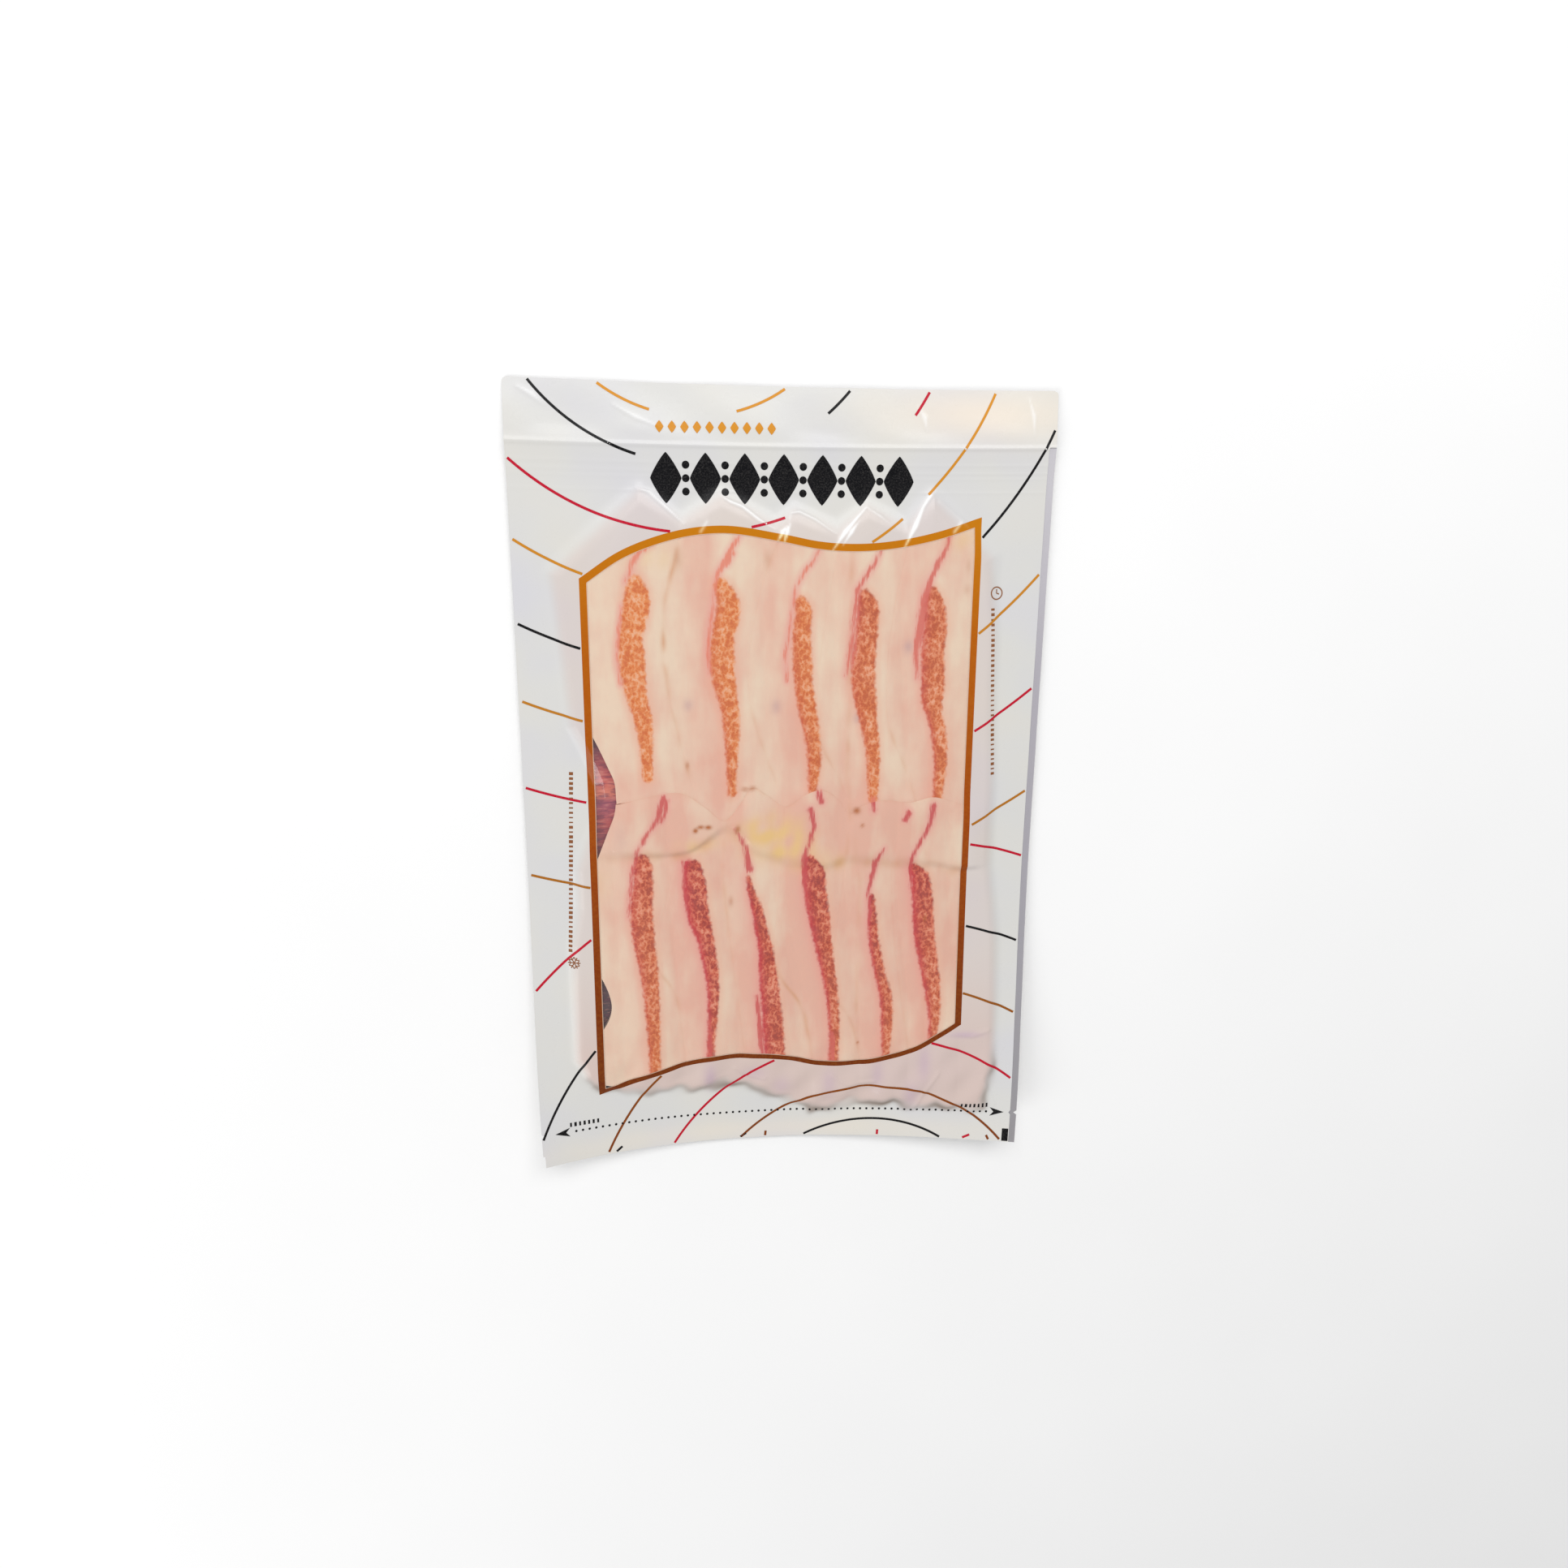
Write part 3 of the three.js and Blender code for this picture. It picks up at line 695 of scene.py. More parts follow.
def muscle(tree, where, marbling, thick, fibre, redness, blush):
    """Lean: marbled muscle bundles, with a soft pale net between them that comes and goes."""
    centred = add(tree, "ShaderNodeVectorMath", {0: thick.outputs["Color"], 1: (0.5, 0.5, 0.5)},
                  operation="SUBTRACT")
    pushed = add(tree, "ShaderNodeVectorMath", {0: centred, 1: (2.6, 2.6, 0), 2: where},
                 operation="MULTIPLY_ADD")
    bundled = add(tree, "ShaderNodeMapping", {
        "Vector": pushed, "Rotation": (0, 0, 0.3), "Scale": (1 / LEAN_BUNDLE, 1 / LEAN_BUNDLE_LONG, 0.1)})
    bundle = add(tree, "ShaderNodeTexVoronoi", {"Vector": bundled, "Scale": 1, "Smoothness": 0.5},
                 feature="SMOOTH_F1", voronoi_dimensions="2D")
    uneven = add(tree, "ShaderNodeMath", {0: bundle.outputs["Distance"], 1: -1.0, 2: marbling},
                 operation="MULTIPLY_ADD")
    flesh = add(tree, "ShaderNodeMapRange", {0: uneven, FROM_LOW: -0.35, FROM_HIGH: 0.4, TO_HIGH: 0.8},
                interpolation_type="SMOOTHSTEP")
    bundle_tone = add(tree, "ShaderNodeSeparateColor", {0: bundle.outputs["Color"]})
    marbled = add(tree, "ShaderNodeMath", {0: bundle_tone, 1: 0.3, 2: flesh}, operation="MULTIPLY_ADD")
    veined = add(tree, "ShaderNodeMath", {0: marbling, 1: 1.0, 2: marbled}, operation="MULTIPLY_ADD")
    dark = add(tree, "ShaderNodeMath", {0: fibre, 1: 1.1, 2: veined}, operation="MULTIPLY_ADD")
    depth = add(tree, "ShaderNodeMapRange", {0: dark, FROM_LOW: 0.9, FROM_HIGH: 2.15})
    orange = add(tree, "ShaderNodeValToRGB", {0: depth}, stops=[
        (0.0, "#f4bc96"), (0.35, "#f0a46c"), (0.65, "#ea8a3e"), (1.0, "#dc6e22")])
    red = add(tree, "ShaderNodeValToRGB", {0: depth}, stops=[
        (0.0, "#ee987c"), (0.35, "#dc7050"), (0.65, "#c64a32"), (1.0, "#a0241c")])
    crimson = add(tree, "ShaderNodeMath", {0: blush, 1: redness}, operation="MULTIPLY")
    skirt = add(tree, "ShaderNodeMath", {0: blush, 1: 0.4}, operation="MULTIPLY")
    return layered(tree, orange, [(skirt, "#d8683a"), (redness, red), (crimson, "#cc2436")])


def fat_colour(tree, cloud, stroke, field):
    """Fat: cream, pink in broad clouds and at the left of the lean, with faint lengthways strokes."""
    cloudy = add(tree, "ShaderNodeMath", {0: cloud, 1: stroke})
    pink = add(tree, "ShaderNodeMapRange", {
        0: cloudy, FROM_LOW: 0.75, FROM_HIGH: 1.25, TO_LOW: -0.3, TO_HIGH: 0.45})
    pinker = add(tree, "ShaderNodeMath", {0: pink, 1: field["bloom"]}, use_clamp=True)
    blushed = add(tree, "ShaderNodeMath", {0: field["blush"], 1: 0.75}, operation="MULTIPLY")
    halo = add(tree, "ShaderNodeMapRange", {
        0: field["strand"], FROM_LOW: 0, FROM_HIGH: 2.6, TO_LOW: 0.55, TO_HIGH: 0},
        interpolation_type="SMOOTHSTEP")
    glow = add(tree, "ShaderNodeMapRange", {
        0: field["lean"], FROM_LOW: 0, FROM_HIGH: 3.5, TO_LOW: 0.5, TO_HIGH: 0},
        interpolation_type="SMOOTHSTEP")
    rosy = layered(tree, "#f0ae94", [(field["redness"], "#ec9290")])
    # The last layer is painted shade below the band's foot and along the heads, mixed with the browner edges
    # at the seams.
    return layered(tree, "#efd6bd", [
        (pinker, "#e9b6a0"), (glow, "#eeb498"), (blushed, rosy), (halo, "#eca699"),
        (field["yellow"], "#eec684"), (field["bruise"], "#b9969c"), (field["rind_and_shade"], "#d89c6e")])


def cured_jowl():
    """Cured pork jowl, cut on a slicer and pressed under film: moist satin fat, cream with a pink bloom,
    and orange to crimson lean in small muscle bundles with a broken pale net of fat between them."""
    material, tree = new_material("cured_jowl")
    where = in_millimetres(tree)
    field = {name: add(tree, "ShaderNodeAttribute", attribute_name=name).outputs["Fac"]
             for name in FOOD_FIELDS}
    marbling, thick, fibre, cloud = (
        add(tree, "ShaderNodeTexNoise", {"Vector": where, "Scale": 1 / size, "Detail": 3})
        for size in GRAIN_SIZES)
    drawn_out = [add(tree, "ShaderNodeMapping", {"Vector": where, "Scale": (1 / across, 1 / along, 0.1)})
                 for across, along in STROKE_SIZES]
    stroke, feather = (
        add(tree, "ShaderNodeTexNoise", {"Vector": stretched, "Scale": 1, "Detail": 3})
        for stretched in drawn_out)
    lean = muscle(tree, where, marbling, thick, fibre, field["redness"], field["blush"])
    fat = fat_colour(tree, cloud, stroke, field)

    # Ragged edge of the lean, and the feathered skins that run beside it.
    ragged = add(tree, "ShaderNodeMath", {0: thick, 1: 2.1, 2: field["lean"]}, operation="MULTIPLY_ADD")
    in_lean = add(tree, "ShaderNodeMapRange", {0: ragged, FROM_LOW: 1.85, FROM_HIGH: 0.4},
                  interpolation_type="SMOOTHSTEP")
    torn = add(tree, "ShaderNodeMath", {0: feather, 1: 3.2, 2: field["strand"]}, operation="MULTIPLY_ADD")
    in_strand = add(tree, "ShaderNodeMapRange", {
        0: torn, FROM_LOW: 2.35, FROM_HIGH: 1.15, TO_LOW: 0, TO_HIGH: 0.9}, interpolation_type="SMOOTHSTEP")
    skin = layered(tree, "#ec886c", [(field["redness"], "#cc3c40")])
    meat = layered(tree, fat, [(in_lean, lean), (in_strand, skin), (field["brown"], "#b8641c")])
    relief = add(tree, "ShaderNodeBump", {"Strength": 0.3, "Distance": 0.15 * MM, "Height": thick})
    shader = add(tree, "ShaderNodeBsdfPrincipled", {
        "Base Color": meat, "Roughness": 0.42, "IOR": 1.45, "Normal": relief})
    add(tree, "ShaderNodeOutputMaterial", {0: shader})
    return material


def plain_floor():
    """Matt painted board: pale and nearly even."""
    material, tree = new_material("pale_board")
    where = in_millimetres(tree)
    mottle = add(tree, "ShaderNodeTexNoise", {"Vector": where, "Scale": 1 / 120, "Detail": 2})
    pale = add(tree, "ShaderNodeValToRGB", {0: mottle}, stops=[(0.3, "#fdfdfd"), (0.7, "#ffffff")])
    shader = add(tree, "ShaderNodeBsdfPrincipled", {"Base Color": pale, "Roughness": 0.85})
    add(tree, "ShaderNodeOutputMaterial", {0: shader})
    return material


# ---- The films ----

def spread(marks, cell):
    """Values that include every mark and lie about one cell apart, with the number of each mark."""
    values, numbers = [marks[0]], [0]
    for first, last in zip(marks, marks[1:]):
        count = max(2, round(abs(last - first) / cell))
        values.extend(np.linspace(first, last, count + 1)[1:])
        numbers.append(len(values) - 1)
    return np.array(values), numbers


window_top = through(WINDOW_TOP)
window_bottom = through(WINDOW_BOTTOM)


def inner_edge(outer, width, x):
    """Offset of a window edge by the frame's width, measured square to the edge."""
    slope = outer(x + 0.5) - outer(x - 0.5)
    return width * np.sqrt(1 + slope ** 2)


LEAN_FROM_Y = 105  # the window's right side leans out between these heights
LEAN_TO_Y = -100


def right_lean(column, y):
    """The window's right side leans out a little towards the bottom."""
    columns = [WINDOW_LEFT, WINDOW_RIGHT - FRAME_WIDTH, WINDOW_RIGHT, CLEAR_STRIP_X]
    return WINDOW_RIGHT_LEAN * np.interp(column, columns, [0, 1, 1, 0]) * rise(LEAN_FROM_Y, LEAN_TO_Y, y)


JOG_HALF = 0.1  # the jog's step takes twice this length of the edge


def edge_trim(column, y):
    """How far a point moves in for the tear notches, the jog and the rounded top corners."""
    at_edge = np.clip((np.abs(column) - HALF_WIDTH + TRIM_FADE) / TRIM_FADE, 0, 1)
    notch = NOTCH_DEPTH * np.clip(1 - np.abs(y - TEAR_Y) / NOTCH_HALF_WIDTH, 0, 1)
    jog = JOG_DEPTH * rise(JOG_Y + JOG_HALF, JOG_Y - JOG_HALF, y) * (column < 0)
    into_corner = np.clip(CORNER_ROUND - (top_edge_y(column) - y), 0, CORNER_ROUND)
    corner = CORNER_ROUND - np.sqrt(CORNER_ROUND ** 2 - into_corner ** 2)
    return -np.sign(column) * at_edge * (notch + jog + corner)


def film_plan():
    """Plan of both films: x, y of every grid point, and the numbers of the columns and rows at each mark."""
    columns, column_marks = spread(
        [-HALF_WIDTH, WINDOW_LEFT, WINDOW_LEFT + FRAME_WIDTH, WINDOW_RIGHT - FRAME_WIDTH, WINDOW_RIGHT,
         CLEAR_STRIP_X, HALF_WIDTH], FILM_CELL)
    top, bottom = window_top(columns), window_bottom(columns)
    level = [-HALF_LENGTH, JOG_Y - JOG_HALF, JOG_Y + JOG_HALF,
             TEAR_Y - NOTCH_HALF_WIDTH, TEAR_Y, TEAR_Y + NOTCH_HALF_WIDTH]
    lines = [
        *[np.full(columns.shape, y) for y in level],
        bottom, bottom + inner_edge(window_bottom, FRAME_WIDTH_BOTTOM, columns),
        top - inner_edge(window_top, FRAME_WIDTH, columns), top, crease_y(columns), top_edge_y(columns),
    ]
    rows, row_marks = [lines[0]], [0]
    for first, last in zip(lines, lines[1:]):
        count = max(1, round(float(np.max(last - first)) / FILM_CELL))
        rows.extend(mix(first, last, step / count) for step in range(1, count + 1))
        row_marks.append(len(rows) - 1)
    y = np.array(rows)
    x = np.broadcast_to(columns, y.shape)
    x = x + edge_trim(x, y) + right_lean(x, y)
    return x, y, column_marks, row_marks


WINDOW_COLUMNS = (1, 4)  # marks of the frame's outer sides, and of its inner sides
OPENING_COLUMNS = (2, 3)
STRIP_MARK = 5
WINDOW_ROWS = (6, 9)
OPENING_ROWS = (7, 8)
CREASE_MARK = 10

TOUCH_EDGE = 2.5  # the slices' cast fades out over this distance to both sides of the block's edge
TOUCH = (0.38, 0.8)  # its strength in the upper part and under the window
TOUCH_Y = (-60, -120)
FOOT_SHADE_BESIDE = 0.6  # the shade at the block's foot lies this far outside it
FOOT_SHADE_WIDTH = 1.7
FOOT_SHADE_Y = (-105, -125)
FOOT_SHADE = 0.55
FOOT_SHADE_UNEVEN = (0.5, 16, 21)


def film_fields(x, y):
    """What the front film's materials need to know at each point, but for the frame's rim."""
    inside = inside_block(x, y)
    touch = rise(-TOUCH_EDGE, TOUCH_EDGE, inside) * mix(*TOUCH, rise(*TOUCH_Y, y))
    foot = soft_line(inside + FOOT_SHADE_BESIDE, FOOT_SHADE_WIDTH) * rise(*FOOT_SHADE_Y, y)
    foot = foot * (FOOT_SHADE + waves(x, y, *FOOT_SHADE_UNEVEN))
    # Of these, the cream field also paints the flap and the bottom strip lighter as painted light, the shade
    # field is painted shade at the block's foot, and the last field is a painted highlight along the folds.
    return {"touch": touch, "shade": np.clip(foot, 0, 1), "ghost": stain(GHOSTS, x, y),
            "cream": stain(CREAM_AND_LIGHT, x, y), "painted_glint": painted_fold_glints(x, y)}


def make_films(materials):
    x, y, column_marks, row_marks = film_plan()
    rows, columns = y.shape
    row, column = np.mgrid[0:rows - 1, 0:columns - 1]

    def between(columns_at, rows_at):
        across = (column >= column_marks[columns_at[0]]) & (column < column_marks[columns_at[1]])
        return across & (row >= row_marks[rows_at[0]]) & (row < row_marks[rows_at[1]])

    in_window = between(WINDOW_COLUMNS, WINDOW_ROWS)
    in_opening = between(OPENING_COLUMNS, OPENING_ROWS)
    in_strip = (column >= column_marks[STRIP_MARK]) & (row < row_marks[CREASE_MARK])
    points = place(x, y, front_height(x, y))
    rim = np.zeros(y.shape)
    low, high = (row_marks[mark] for mark in OPENING_ROWS)
    left, right = (column_marks[mark] for mark in OPENING_COLUMNS)
    rim[[low, high], left:right + 1] = 1
    rim[low:high + 1, [left, right]] = 1
    fields = {**film_fields(x, y), "rim": rim}
    pieces = [
        ("printed_front_film", ~in_window & ~in_strip, "printed_laminate", "printed_film"),
        ("window_frame_print", in_window & ~in_opening, "frame_ink", "printed_film"),
        ("window_film", in_opening, "clear_laminate", "clear_film"),
        ("clear_edge_film", in_strip, "clear_laminate", "clear_film"),
    ]
    for name, kept, material, slot in pieces:
        add_piece(name, points, grid_faces(rows, columns, kept), materials[material], fields)
    make_backing(x, y, column_marks, row_marks, materials["backing_print"])


BACKING_CELLS = 4  # the backing takes every fourth line of the front film's grid


def make_backing(x, y, column_marks, row_marks, material):
    """The backing as one closed sheet: its print shows through the clear film, and its outside is plain."""
    rows_kept = sorted({*range(0, len(y), BACKING_CELLS), *row_marks})
    columns_kept = sorted({*range(0, x.shape[1], BACKING_CELLS), *column_marks})
    x, y = x[np.ix_(rows_kept, columns_kept)], y[np.ix_(rows_kept, columns_kept)]
    rows, columns = x.shape
    bottom = back_height(x, y)
    top = np.minimum(bottom + LAMINATE / 2, front_height(x, y) - LAMINATE / 2)
    top_points, bottom_points = place(x, y, top).reshape(-1, 3), place(x, y, bottom).reshape(-1, 3)
    rim = rim_of(rows, columns)
    start = 2 * rows * columns
    count = len(rim)
    side = np.arange(count)
    after = np.roll(side, -1)
    # The cut edge has its own points, so that its colour doesn't run into the print.
    points = np.concatenate([top_points, bottom_points, top_points[rim], bottom_points[rim]])
    walls = np.stack([start + count + side, start + count + after, start + after, start + side], -1)
    faces = np.concatenate([
        grid_faces(rows, columns), grid_faces(rows, columns, turned=True) + rows * columns, walls])
    printed = np.concatenate([np.ones(rows * columns), np.zeros(rows * columns + 2 * count)])
    add_piece("backing_film", points, faces, material, {"printed": printed})


# ---- The slices ----

# Lean of each slice: how deep red it is at its head and at its tail, how rosy the fat beside it is, and
# its streak from head to tail as (y, x of its middle, width).
UPPER_LEAN = [
    (0.04, 0.12, 0.1, [(80.6, -55.9, 4.6), (75.6, -55.4, 8.9), (67, -56.6, 8.8), (60, -58, 8.6),
                       (52.5, -57.8, 9.5), (46, -57.3, 8.9), (38, -56.3, 7.6), (30.6, -54.3, 6.7),
                       (21, -53.5, 5.1), (7.4, -53, 3.6)]),
    (0.08, 0.22, 0.95, [(79.5, -24.6, 5), (73.5, -22, 8.0), (61, -23.9, 8.3), (49, -24.3, 8.9),
                        (41, -23.2, 8), (36.6, -22.2, 7), (27, -21, 6.3), (17, -21, 4.6), (1, -21, 3.2)]),
    (0.16, 0.3, 0.8, [(73.4, 5.2, 4.6), (71, 6.0, 5.9), (63, 5.6, 6.4), (52, 5.9, 7.3), (44, 6.4, 6.9),
                      (36, 7.4, 7), (23.6, 9.8, 5.8), (15, 10.8, 5.4), (1.5, 10.4, 3)]),
    (0.55, 0.2, 0.5, [(76.4, 29, 4), (73, 30.1, 6.9), (61.5, 30.1, 8.3), (49, 29.2, 8.9), (41, 29.6, 8.8),
                      (36, 30.5, 8.4), (29, 31.6, 6.6), (23.4, 32.8, 6), (4.4, 34.3, 4.4), (-2, 34.3, 3.4)]),
    (0.58, 0.3, 1.0, [(77.5, 55, 4), (73, 55.6, 7.4), (67.6, 56.4, 8.7), (55, 56, 8.7), (42.7, 56.6, 8.9),
                      (35, 56.6, 7.6), (31, 57.6, 6), (23, 59.7, 5.7), (12, 60.8, 5), (-2, 60.2, 3.6)]),
]
LOWER_LEAN = [
    (0.85, 0.3, 0.4, [(-25.2, -56, 5), (-28, -55.8, 6.6), (-33, -55.7, 7.3), (-46, -56.7, 8.6),
                      (-60, -56, 8.3), (-67, -55, 7.6), (-74.5, -54.2, 6.8), (-84, -53.6, 6),
                      (-110, -53, 4.4), (-118, -53, 4)]),
    (1.0, 0.85, 1.0, [(-28.8, -36.6, 6.8), (-36.8, -35.6, 8.6), (-44, -35.2, 8.8), (-50.7, -34.2, 8.4),
                      (-57, -32.2, 7), (-64.6, -30.8, 6.2), (-80.4, -29, 4.8), (-92, -29.2, 3.9),
                      (-110, -30.2, 2.6), (-118, -30, 2.2)]),
    (0.95, 0.85, 1.0, [(-33.6, -14.7, 1.9), (-38.8, -13.7, 2.6), (-47.6, -11, 4.4), (-55, -9.6, 5),
                       (-62, -8, 5.5), (-76, -6.6, 7.3), (-90, -5.2, 8), (-112, -3.6, 8),
                       (-124, -2.6, 6.4)]),
    (1.0, 0.55, 1.0, [(-26.5, 9.6, 4), (-31, 11.2, 8), (-38.4, 12, 8.7), (-46, 13, 8.6), (-53, 14.2, 8.3),
                      (-61, 15.4, 7.2), (-68.7, 16.8, 6.3), (-84, 19.5, 4.9), (-103, 20.9, 4.1),
                      (-118, 20.7, 3.4), (-127, 21, 3)]),
    (1.0, 0.5, 0.9, [(-42.5, 35.2, 1.6), (-52.5, 35.7, 3.3), (-61.6, 36.4, 4), (-69, 37.8, 4.2),
                     (-77, 39.5, 4.4), (-85, 41.8, 5), (-101, 42.7, 4.2), (-112, 42.7, 3.2),
                     (-126, 43.4, 3)]),
    (1.0, 0.5, 1.0, [(-31.2, 52, 4), (-35, 54.6, 7), (-39.6, 55.3, 8), (-48, 56.2, 8.4), (-58.8, 57.1, 8.4),
                     (-70, 59, 7.6), (-85.8, 61.7, 6.3), (-96, 62.5, 4.4), (-106, 62.1, 3),
                     (-122, 62, 2.6)]),
]
# Red skins and loose ends of lean, as (x, y, half width).
STRANDS = [
    [(-49.4, 93.4, .1), (-54.2, 90.9, .5), (-56.6, 87.6, .6), (-57.6, 83.7, .35), (-59.6, 80.4, .1)],
    [(-61.1, 72, .0), (-62.4, 61.3, .1), (-63.3, 52.1, .15), (-62.3, 43, .0)],
    [(-17.7, 97, .3), (-21.2, 91.8, .6), (-23.8, 86.8, .6), (-25.8, 83.5, .35), (-27.2, 76.1, .2),
     (-28.6, 65.9, .3), (-29.6, 55.6, .4), (-28.9, 47, .1)],
    [(-20.4, 91, .6), (-22.6, 87, .6)],
    [(12.4, 94, .1), (9.6, 88.5, .3), (6.9, 85.6, .5), (5.2, 82.6, .35), (3, 78, .1), (1.4, 69, .1),
     (0.4, 60, .3), (-0.6, 54, .4), (0, 44, .1)],
    [(35.2, 94, .1), (32.9, 88, .4), (29.4, 83.4, .5), (26.2, 78, .35), (25.4, 70, .35), (24.6, 60, .45),
     (23.4, 52, .35), (22.4, 46, .05)],
    [(27.2, 75, .2), (26.4, 66, .25), (25.8, 58, .3), (24.8, 49, .1)],
    [(60.8, 100, .5), (59.4, 93, .65), (56.4, 87.6, .8), (53.6, 81, .7), (51.8, 74, 1.1), (51, 66, 1.2),
     (50, 59, 1.0), (49.4, 53, .5), (50.4, 45, .2)],
    [(-45.9, -1.4, .3), (-46.6, -6, .5), (-48.4, -10, .3)],
    [(-47.1, -0.3, .6), (-48.4, -5.2, .9), (-51, -11.2, .7), (-54.8, -16.1, .35), (-57.6, -21.6, .35),
     (-60, -30.6, .35), (-61.1, -39.6, .3), (-62.1, -48.8, .05)],
    [(-40.3, -26, .3), (-39.9, -36.8, .5), (-38.8, -46, .2)],
    [(-20, -12.9, .3), (-18.7, -15.5, .5), (-17, -17.5, .5), (-15.7, -21.5, .8), (-14.6, -28.5, 1.2),
     (-14.3, -30, 1.1)],
    [(12.6, 1, .7), (13.8, -3, .9)],
    [(9.6, -6, 1), (11.1, -12.5, .6), (9.9, -18, .7), (7.4, -24.7, .7), (7.6, -35.9, .6), (9, -46, .2)],
    [(48.8, -8, .9), (47.4, -10.8, .8)],
    [(39.4, -22.4, .2), (36.1, -27.9, .7), (34.5, -35.3, .8), (33.6, -41.6, .45), (34.6, -49.3, .5),
     (33.9, -56, .1)],
    [(58.6, -5.6, 1.1), (57.6, -12.3, .8), (54.2, -19.6, .55), (51, -25.7, .6), (50.2, -30.7, .6),
     (51, -39.6, .4)],
    [(56.4, -15, .3), (53, -21.6, .35), (50.2, -27, .3)],
    [(34.2, -2.2, .8), (34.6, -6.6, .9)],
    [(-30, -92, .3), (-30.6, -112, .9)],
    [(-11.4, -84, .4), (-9.9, -98, .9), (-8.4, -118, .5)],
    [(20.2, -102, .6), (20.6, -118, 1)],
]
# The lean shows through the white print below the window as lilac ghosts. The flap is creamy and lighter at
# the right, and the strip along the bottom edge lighter and warmer, partly as painted light. Both are soft
# spots, as (x, y, reach across, reach lengthways, strength).
GHOSTS = [
    (-30.5, -120, 2.6, 6, .5), (-12, -119, 5, 3, .3), (-1, -125, 4, 4, .3), (19, -124, 3, 6, .35),
    (39.4, -121, 2.6, 6, .35), (59, -116, 2.6, 8, .4), (54, -130, 3, 5, .4), (76, -103.5, 7, 1.4, .5),
]
CREAM_AND_LIGHT = [(72, 141, 36, 9, .7), (-10, -146, 90, 5, .35)]
# Soft stains in the fat, as (x, y, reach across, reach lengthways, strength).
YELLOW = [
    (-14, -15.5, 6, 4, .7), (-6, -14, 8, 6, .6), (3, -17, 7, 7, .55), (-5, -23, 9, 5, .6),
    (9, -27, 7, 7, .4), (-34, -20, 7, 3, .5), (21.5, -27.5, 5, 3, .45), (-76, -34, 5, 8, .4),
    (66, 97, 8, 5, .3), (-50, 89, 9, 4, .25),
]
BROWN = [
    (-35.2, -13.6, .9, .9, .9), (-33.2, -12.2, 1.2, .7, .8), (-30.2, -12.4, 1.2, .8, .9),
    (-18.9, -13.6, .9, 1.4, .8), (28, -6.9, 1.4, 1.2, .8), (30.3, -12.8, .8, .7, .6),
    (-16, 2.4, 1.4, .8, .5), (-13, 2.7, 1.2, .8, .5), (-7.5, 89, 1.4, 3.2, .2), (-40.4, 88.5, 1.6, 3.6, .2),
    (-37.9, 11.9, .7, 1.3, .45), (-21.6, -43.3, 1, 2, .3), (30.8, -106.4, .5, .5, .7),
    (68.5, 87, 1.0, 2.2, .16), (68.3, 78.4, 1.2, 1.8, .16), (57.2, -52.5, .7, 1.2, .5),
]
PINK = [
    (0, -75, 90, 42, .3), (0, -8, 80, 16, .35), (69, -62, 8, 24, .5), (67, 12, 7, 22, .35),
    (40, -10, 9, 9, .4), (-58, 4, 8, 7, .3), (-24, 48, 14, 12, .2),
]
BRUISE = [
    (-37.3, 35.1, 1.8, 2.2, .4), (-4, 34.3, 1.8, 2.6, .4), (46.4, 57, 1.8, 2.4, .5),
    (27.4, 29.8, 1.6, 2, .4), (-36.5, -46, 2, 4, .3), (-64, -16, 3, 6, .15), (25.6, 54.3, 1, 3, .5),
]
# How dark the soft line along each slice's left edge is, as (y, strength): the edge's browner colour with
# painted shade; the first slice has none.
UPPER_SEAM_SHADES = [
    [(4, .0), (10, .3), (30, .3), (44, .42), (58, .42), (66, .25), (84, .4), (92, .3), (96, 0)],
    [(2, 0), (10, .12), (28, .16), (38, 0), (82, 0), (88, .15), (94, .1)],
    [(0, .15), (18, .26), (28, .1), (36, 0)],
    [(-2, .1), (14, .26), (26, .16), (34, 0)],
]
LOWER_SEAM_SHADES = [
    [(-92, .05), (-84, .2), (-70, .26), (-62, 0)],
    [(-100, .05), (-60, .1), (-44, .22), (-30, .16), (-14, .1)],
    [(-112, .1), (-97, .5), (-90, .42), (-76, .3), (-68, .1), (-58, 0)],
    [(-108, .2), (-96, .32), (-86, .26), (-72, 0), (-30, 0), (-24, .26), (-10, .2)],
    [(-98, .1), (-80, .1), (-66, 0)],
]
# Painted shade below the foot of the band where the rows overlap, and along the lower slices' heads, as (x,
# strength).
BAND_FOOT_SHADE = [
    (-72, .1), (-58, .3), (-38, .42), (-26, .3), (-18, .12), (4, .12), (16, .35), (40, .3), (60, .3),
    (80, .4),
]
HEAD_SHADE = [(-84, .02), (-60, .04), (-44, .08), (-26, .12), (-15, .12), (-4, .06), (80, .02)]
SEAM_WIDTH = 1.0
BAND_SHADE_BELOW = 0.8  # the band's painted shade lies this far below its foot
BAND_SHADE_WIDTH = 2.4
SEAM_EVEN = 0.85
SEAM_UNEVEN = (0.8, 8, 31)  # as (strength, pitch, seed)


def stain(spots, x, y):
    """Sum of soft round stains, held between 0 and 1."""
    total = sum(s * np.exp(-((x - cx) / rx) ** 2 - ((y - cy) / ry) ** 2) for cx, cy, rx, ry, s in spots)
    return np.clip(total, 0, 1)


def soft_line(apart, width=SEAM_WIDTH):
    return np.exp(-(apart / width) ** 2)


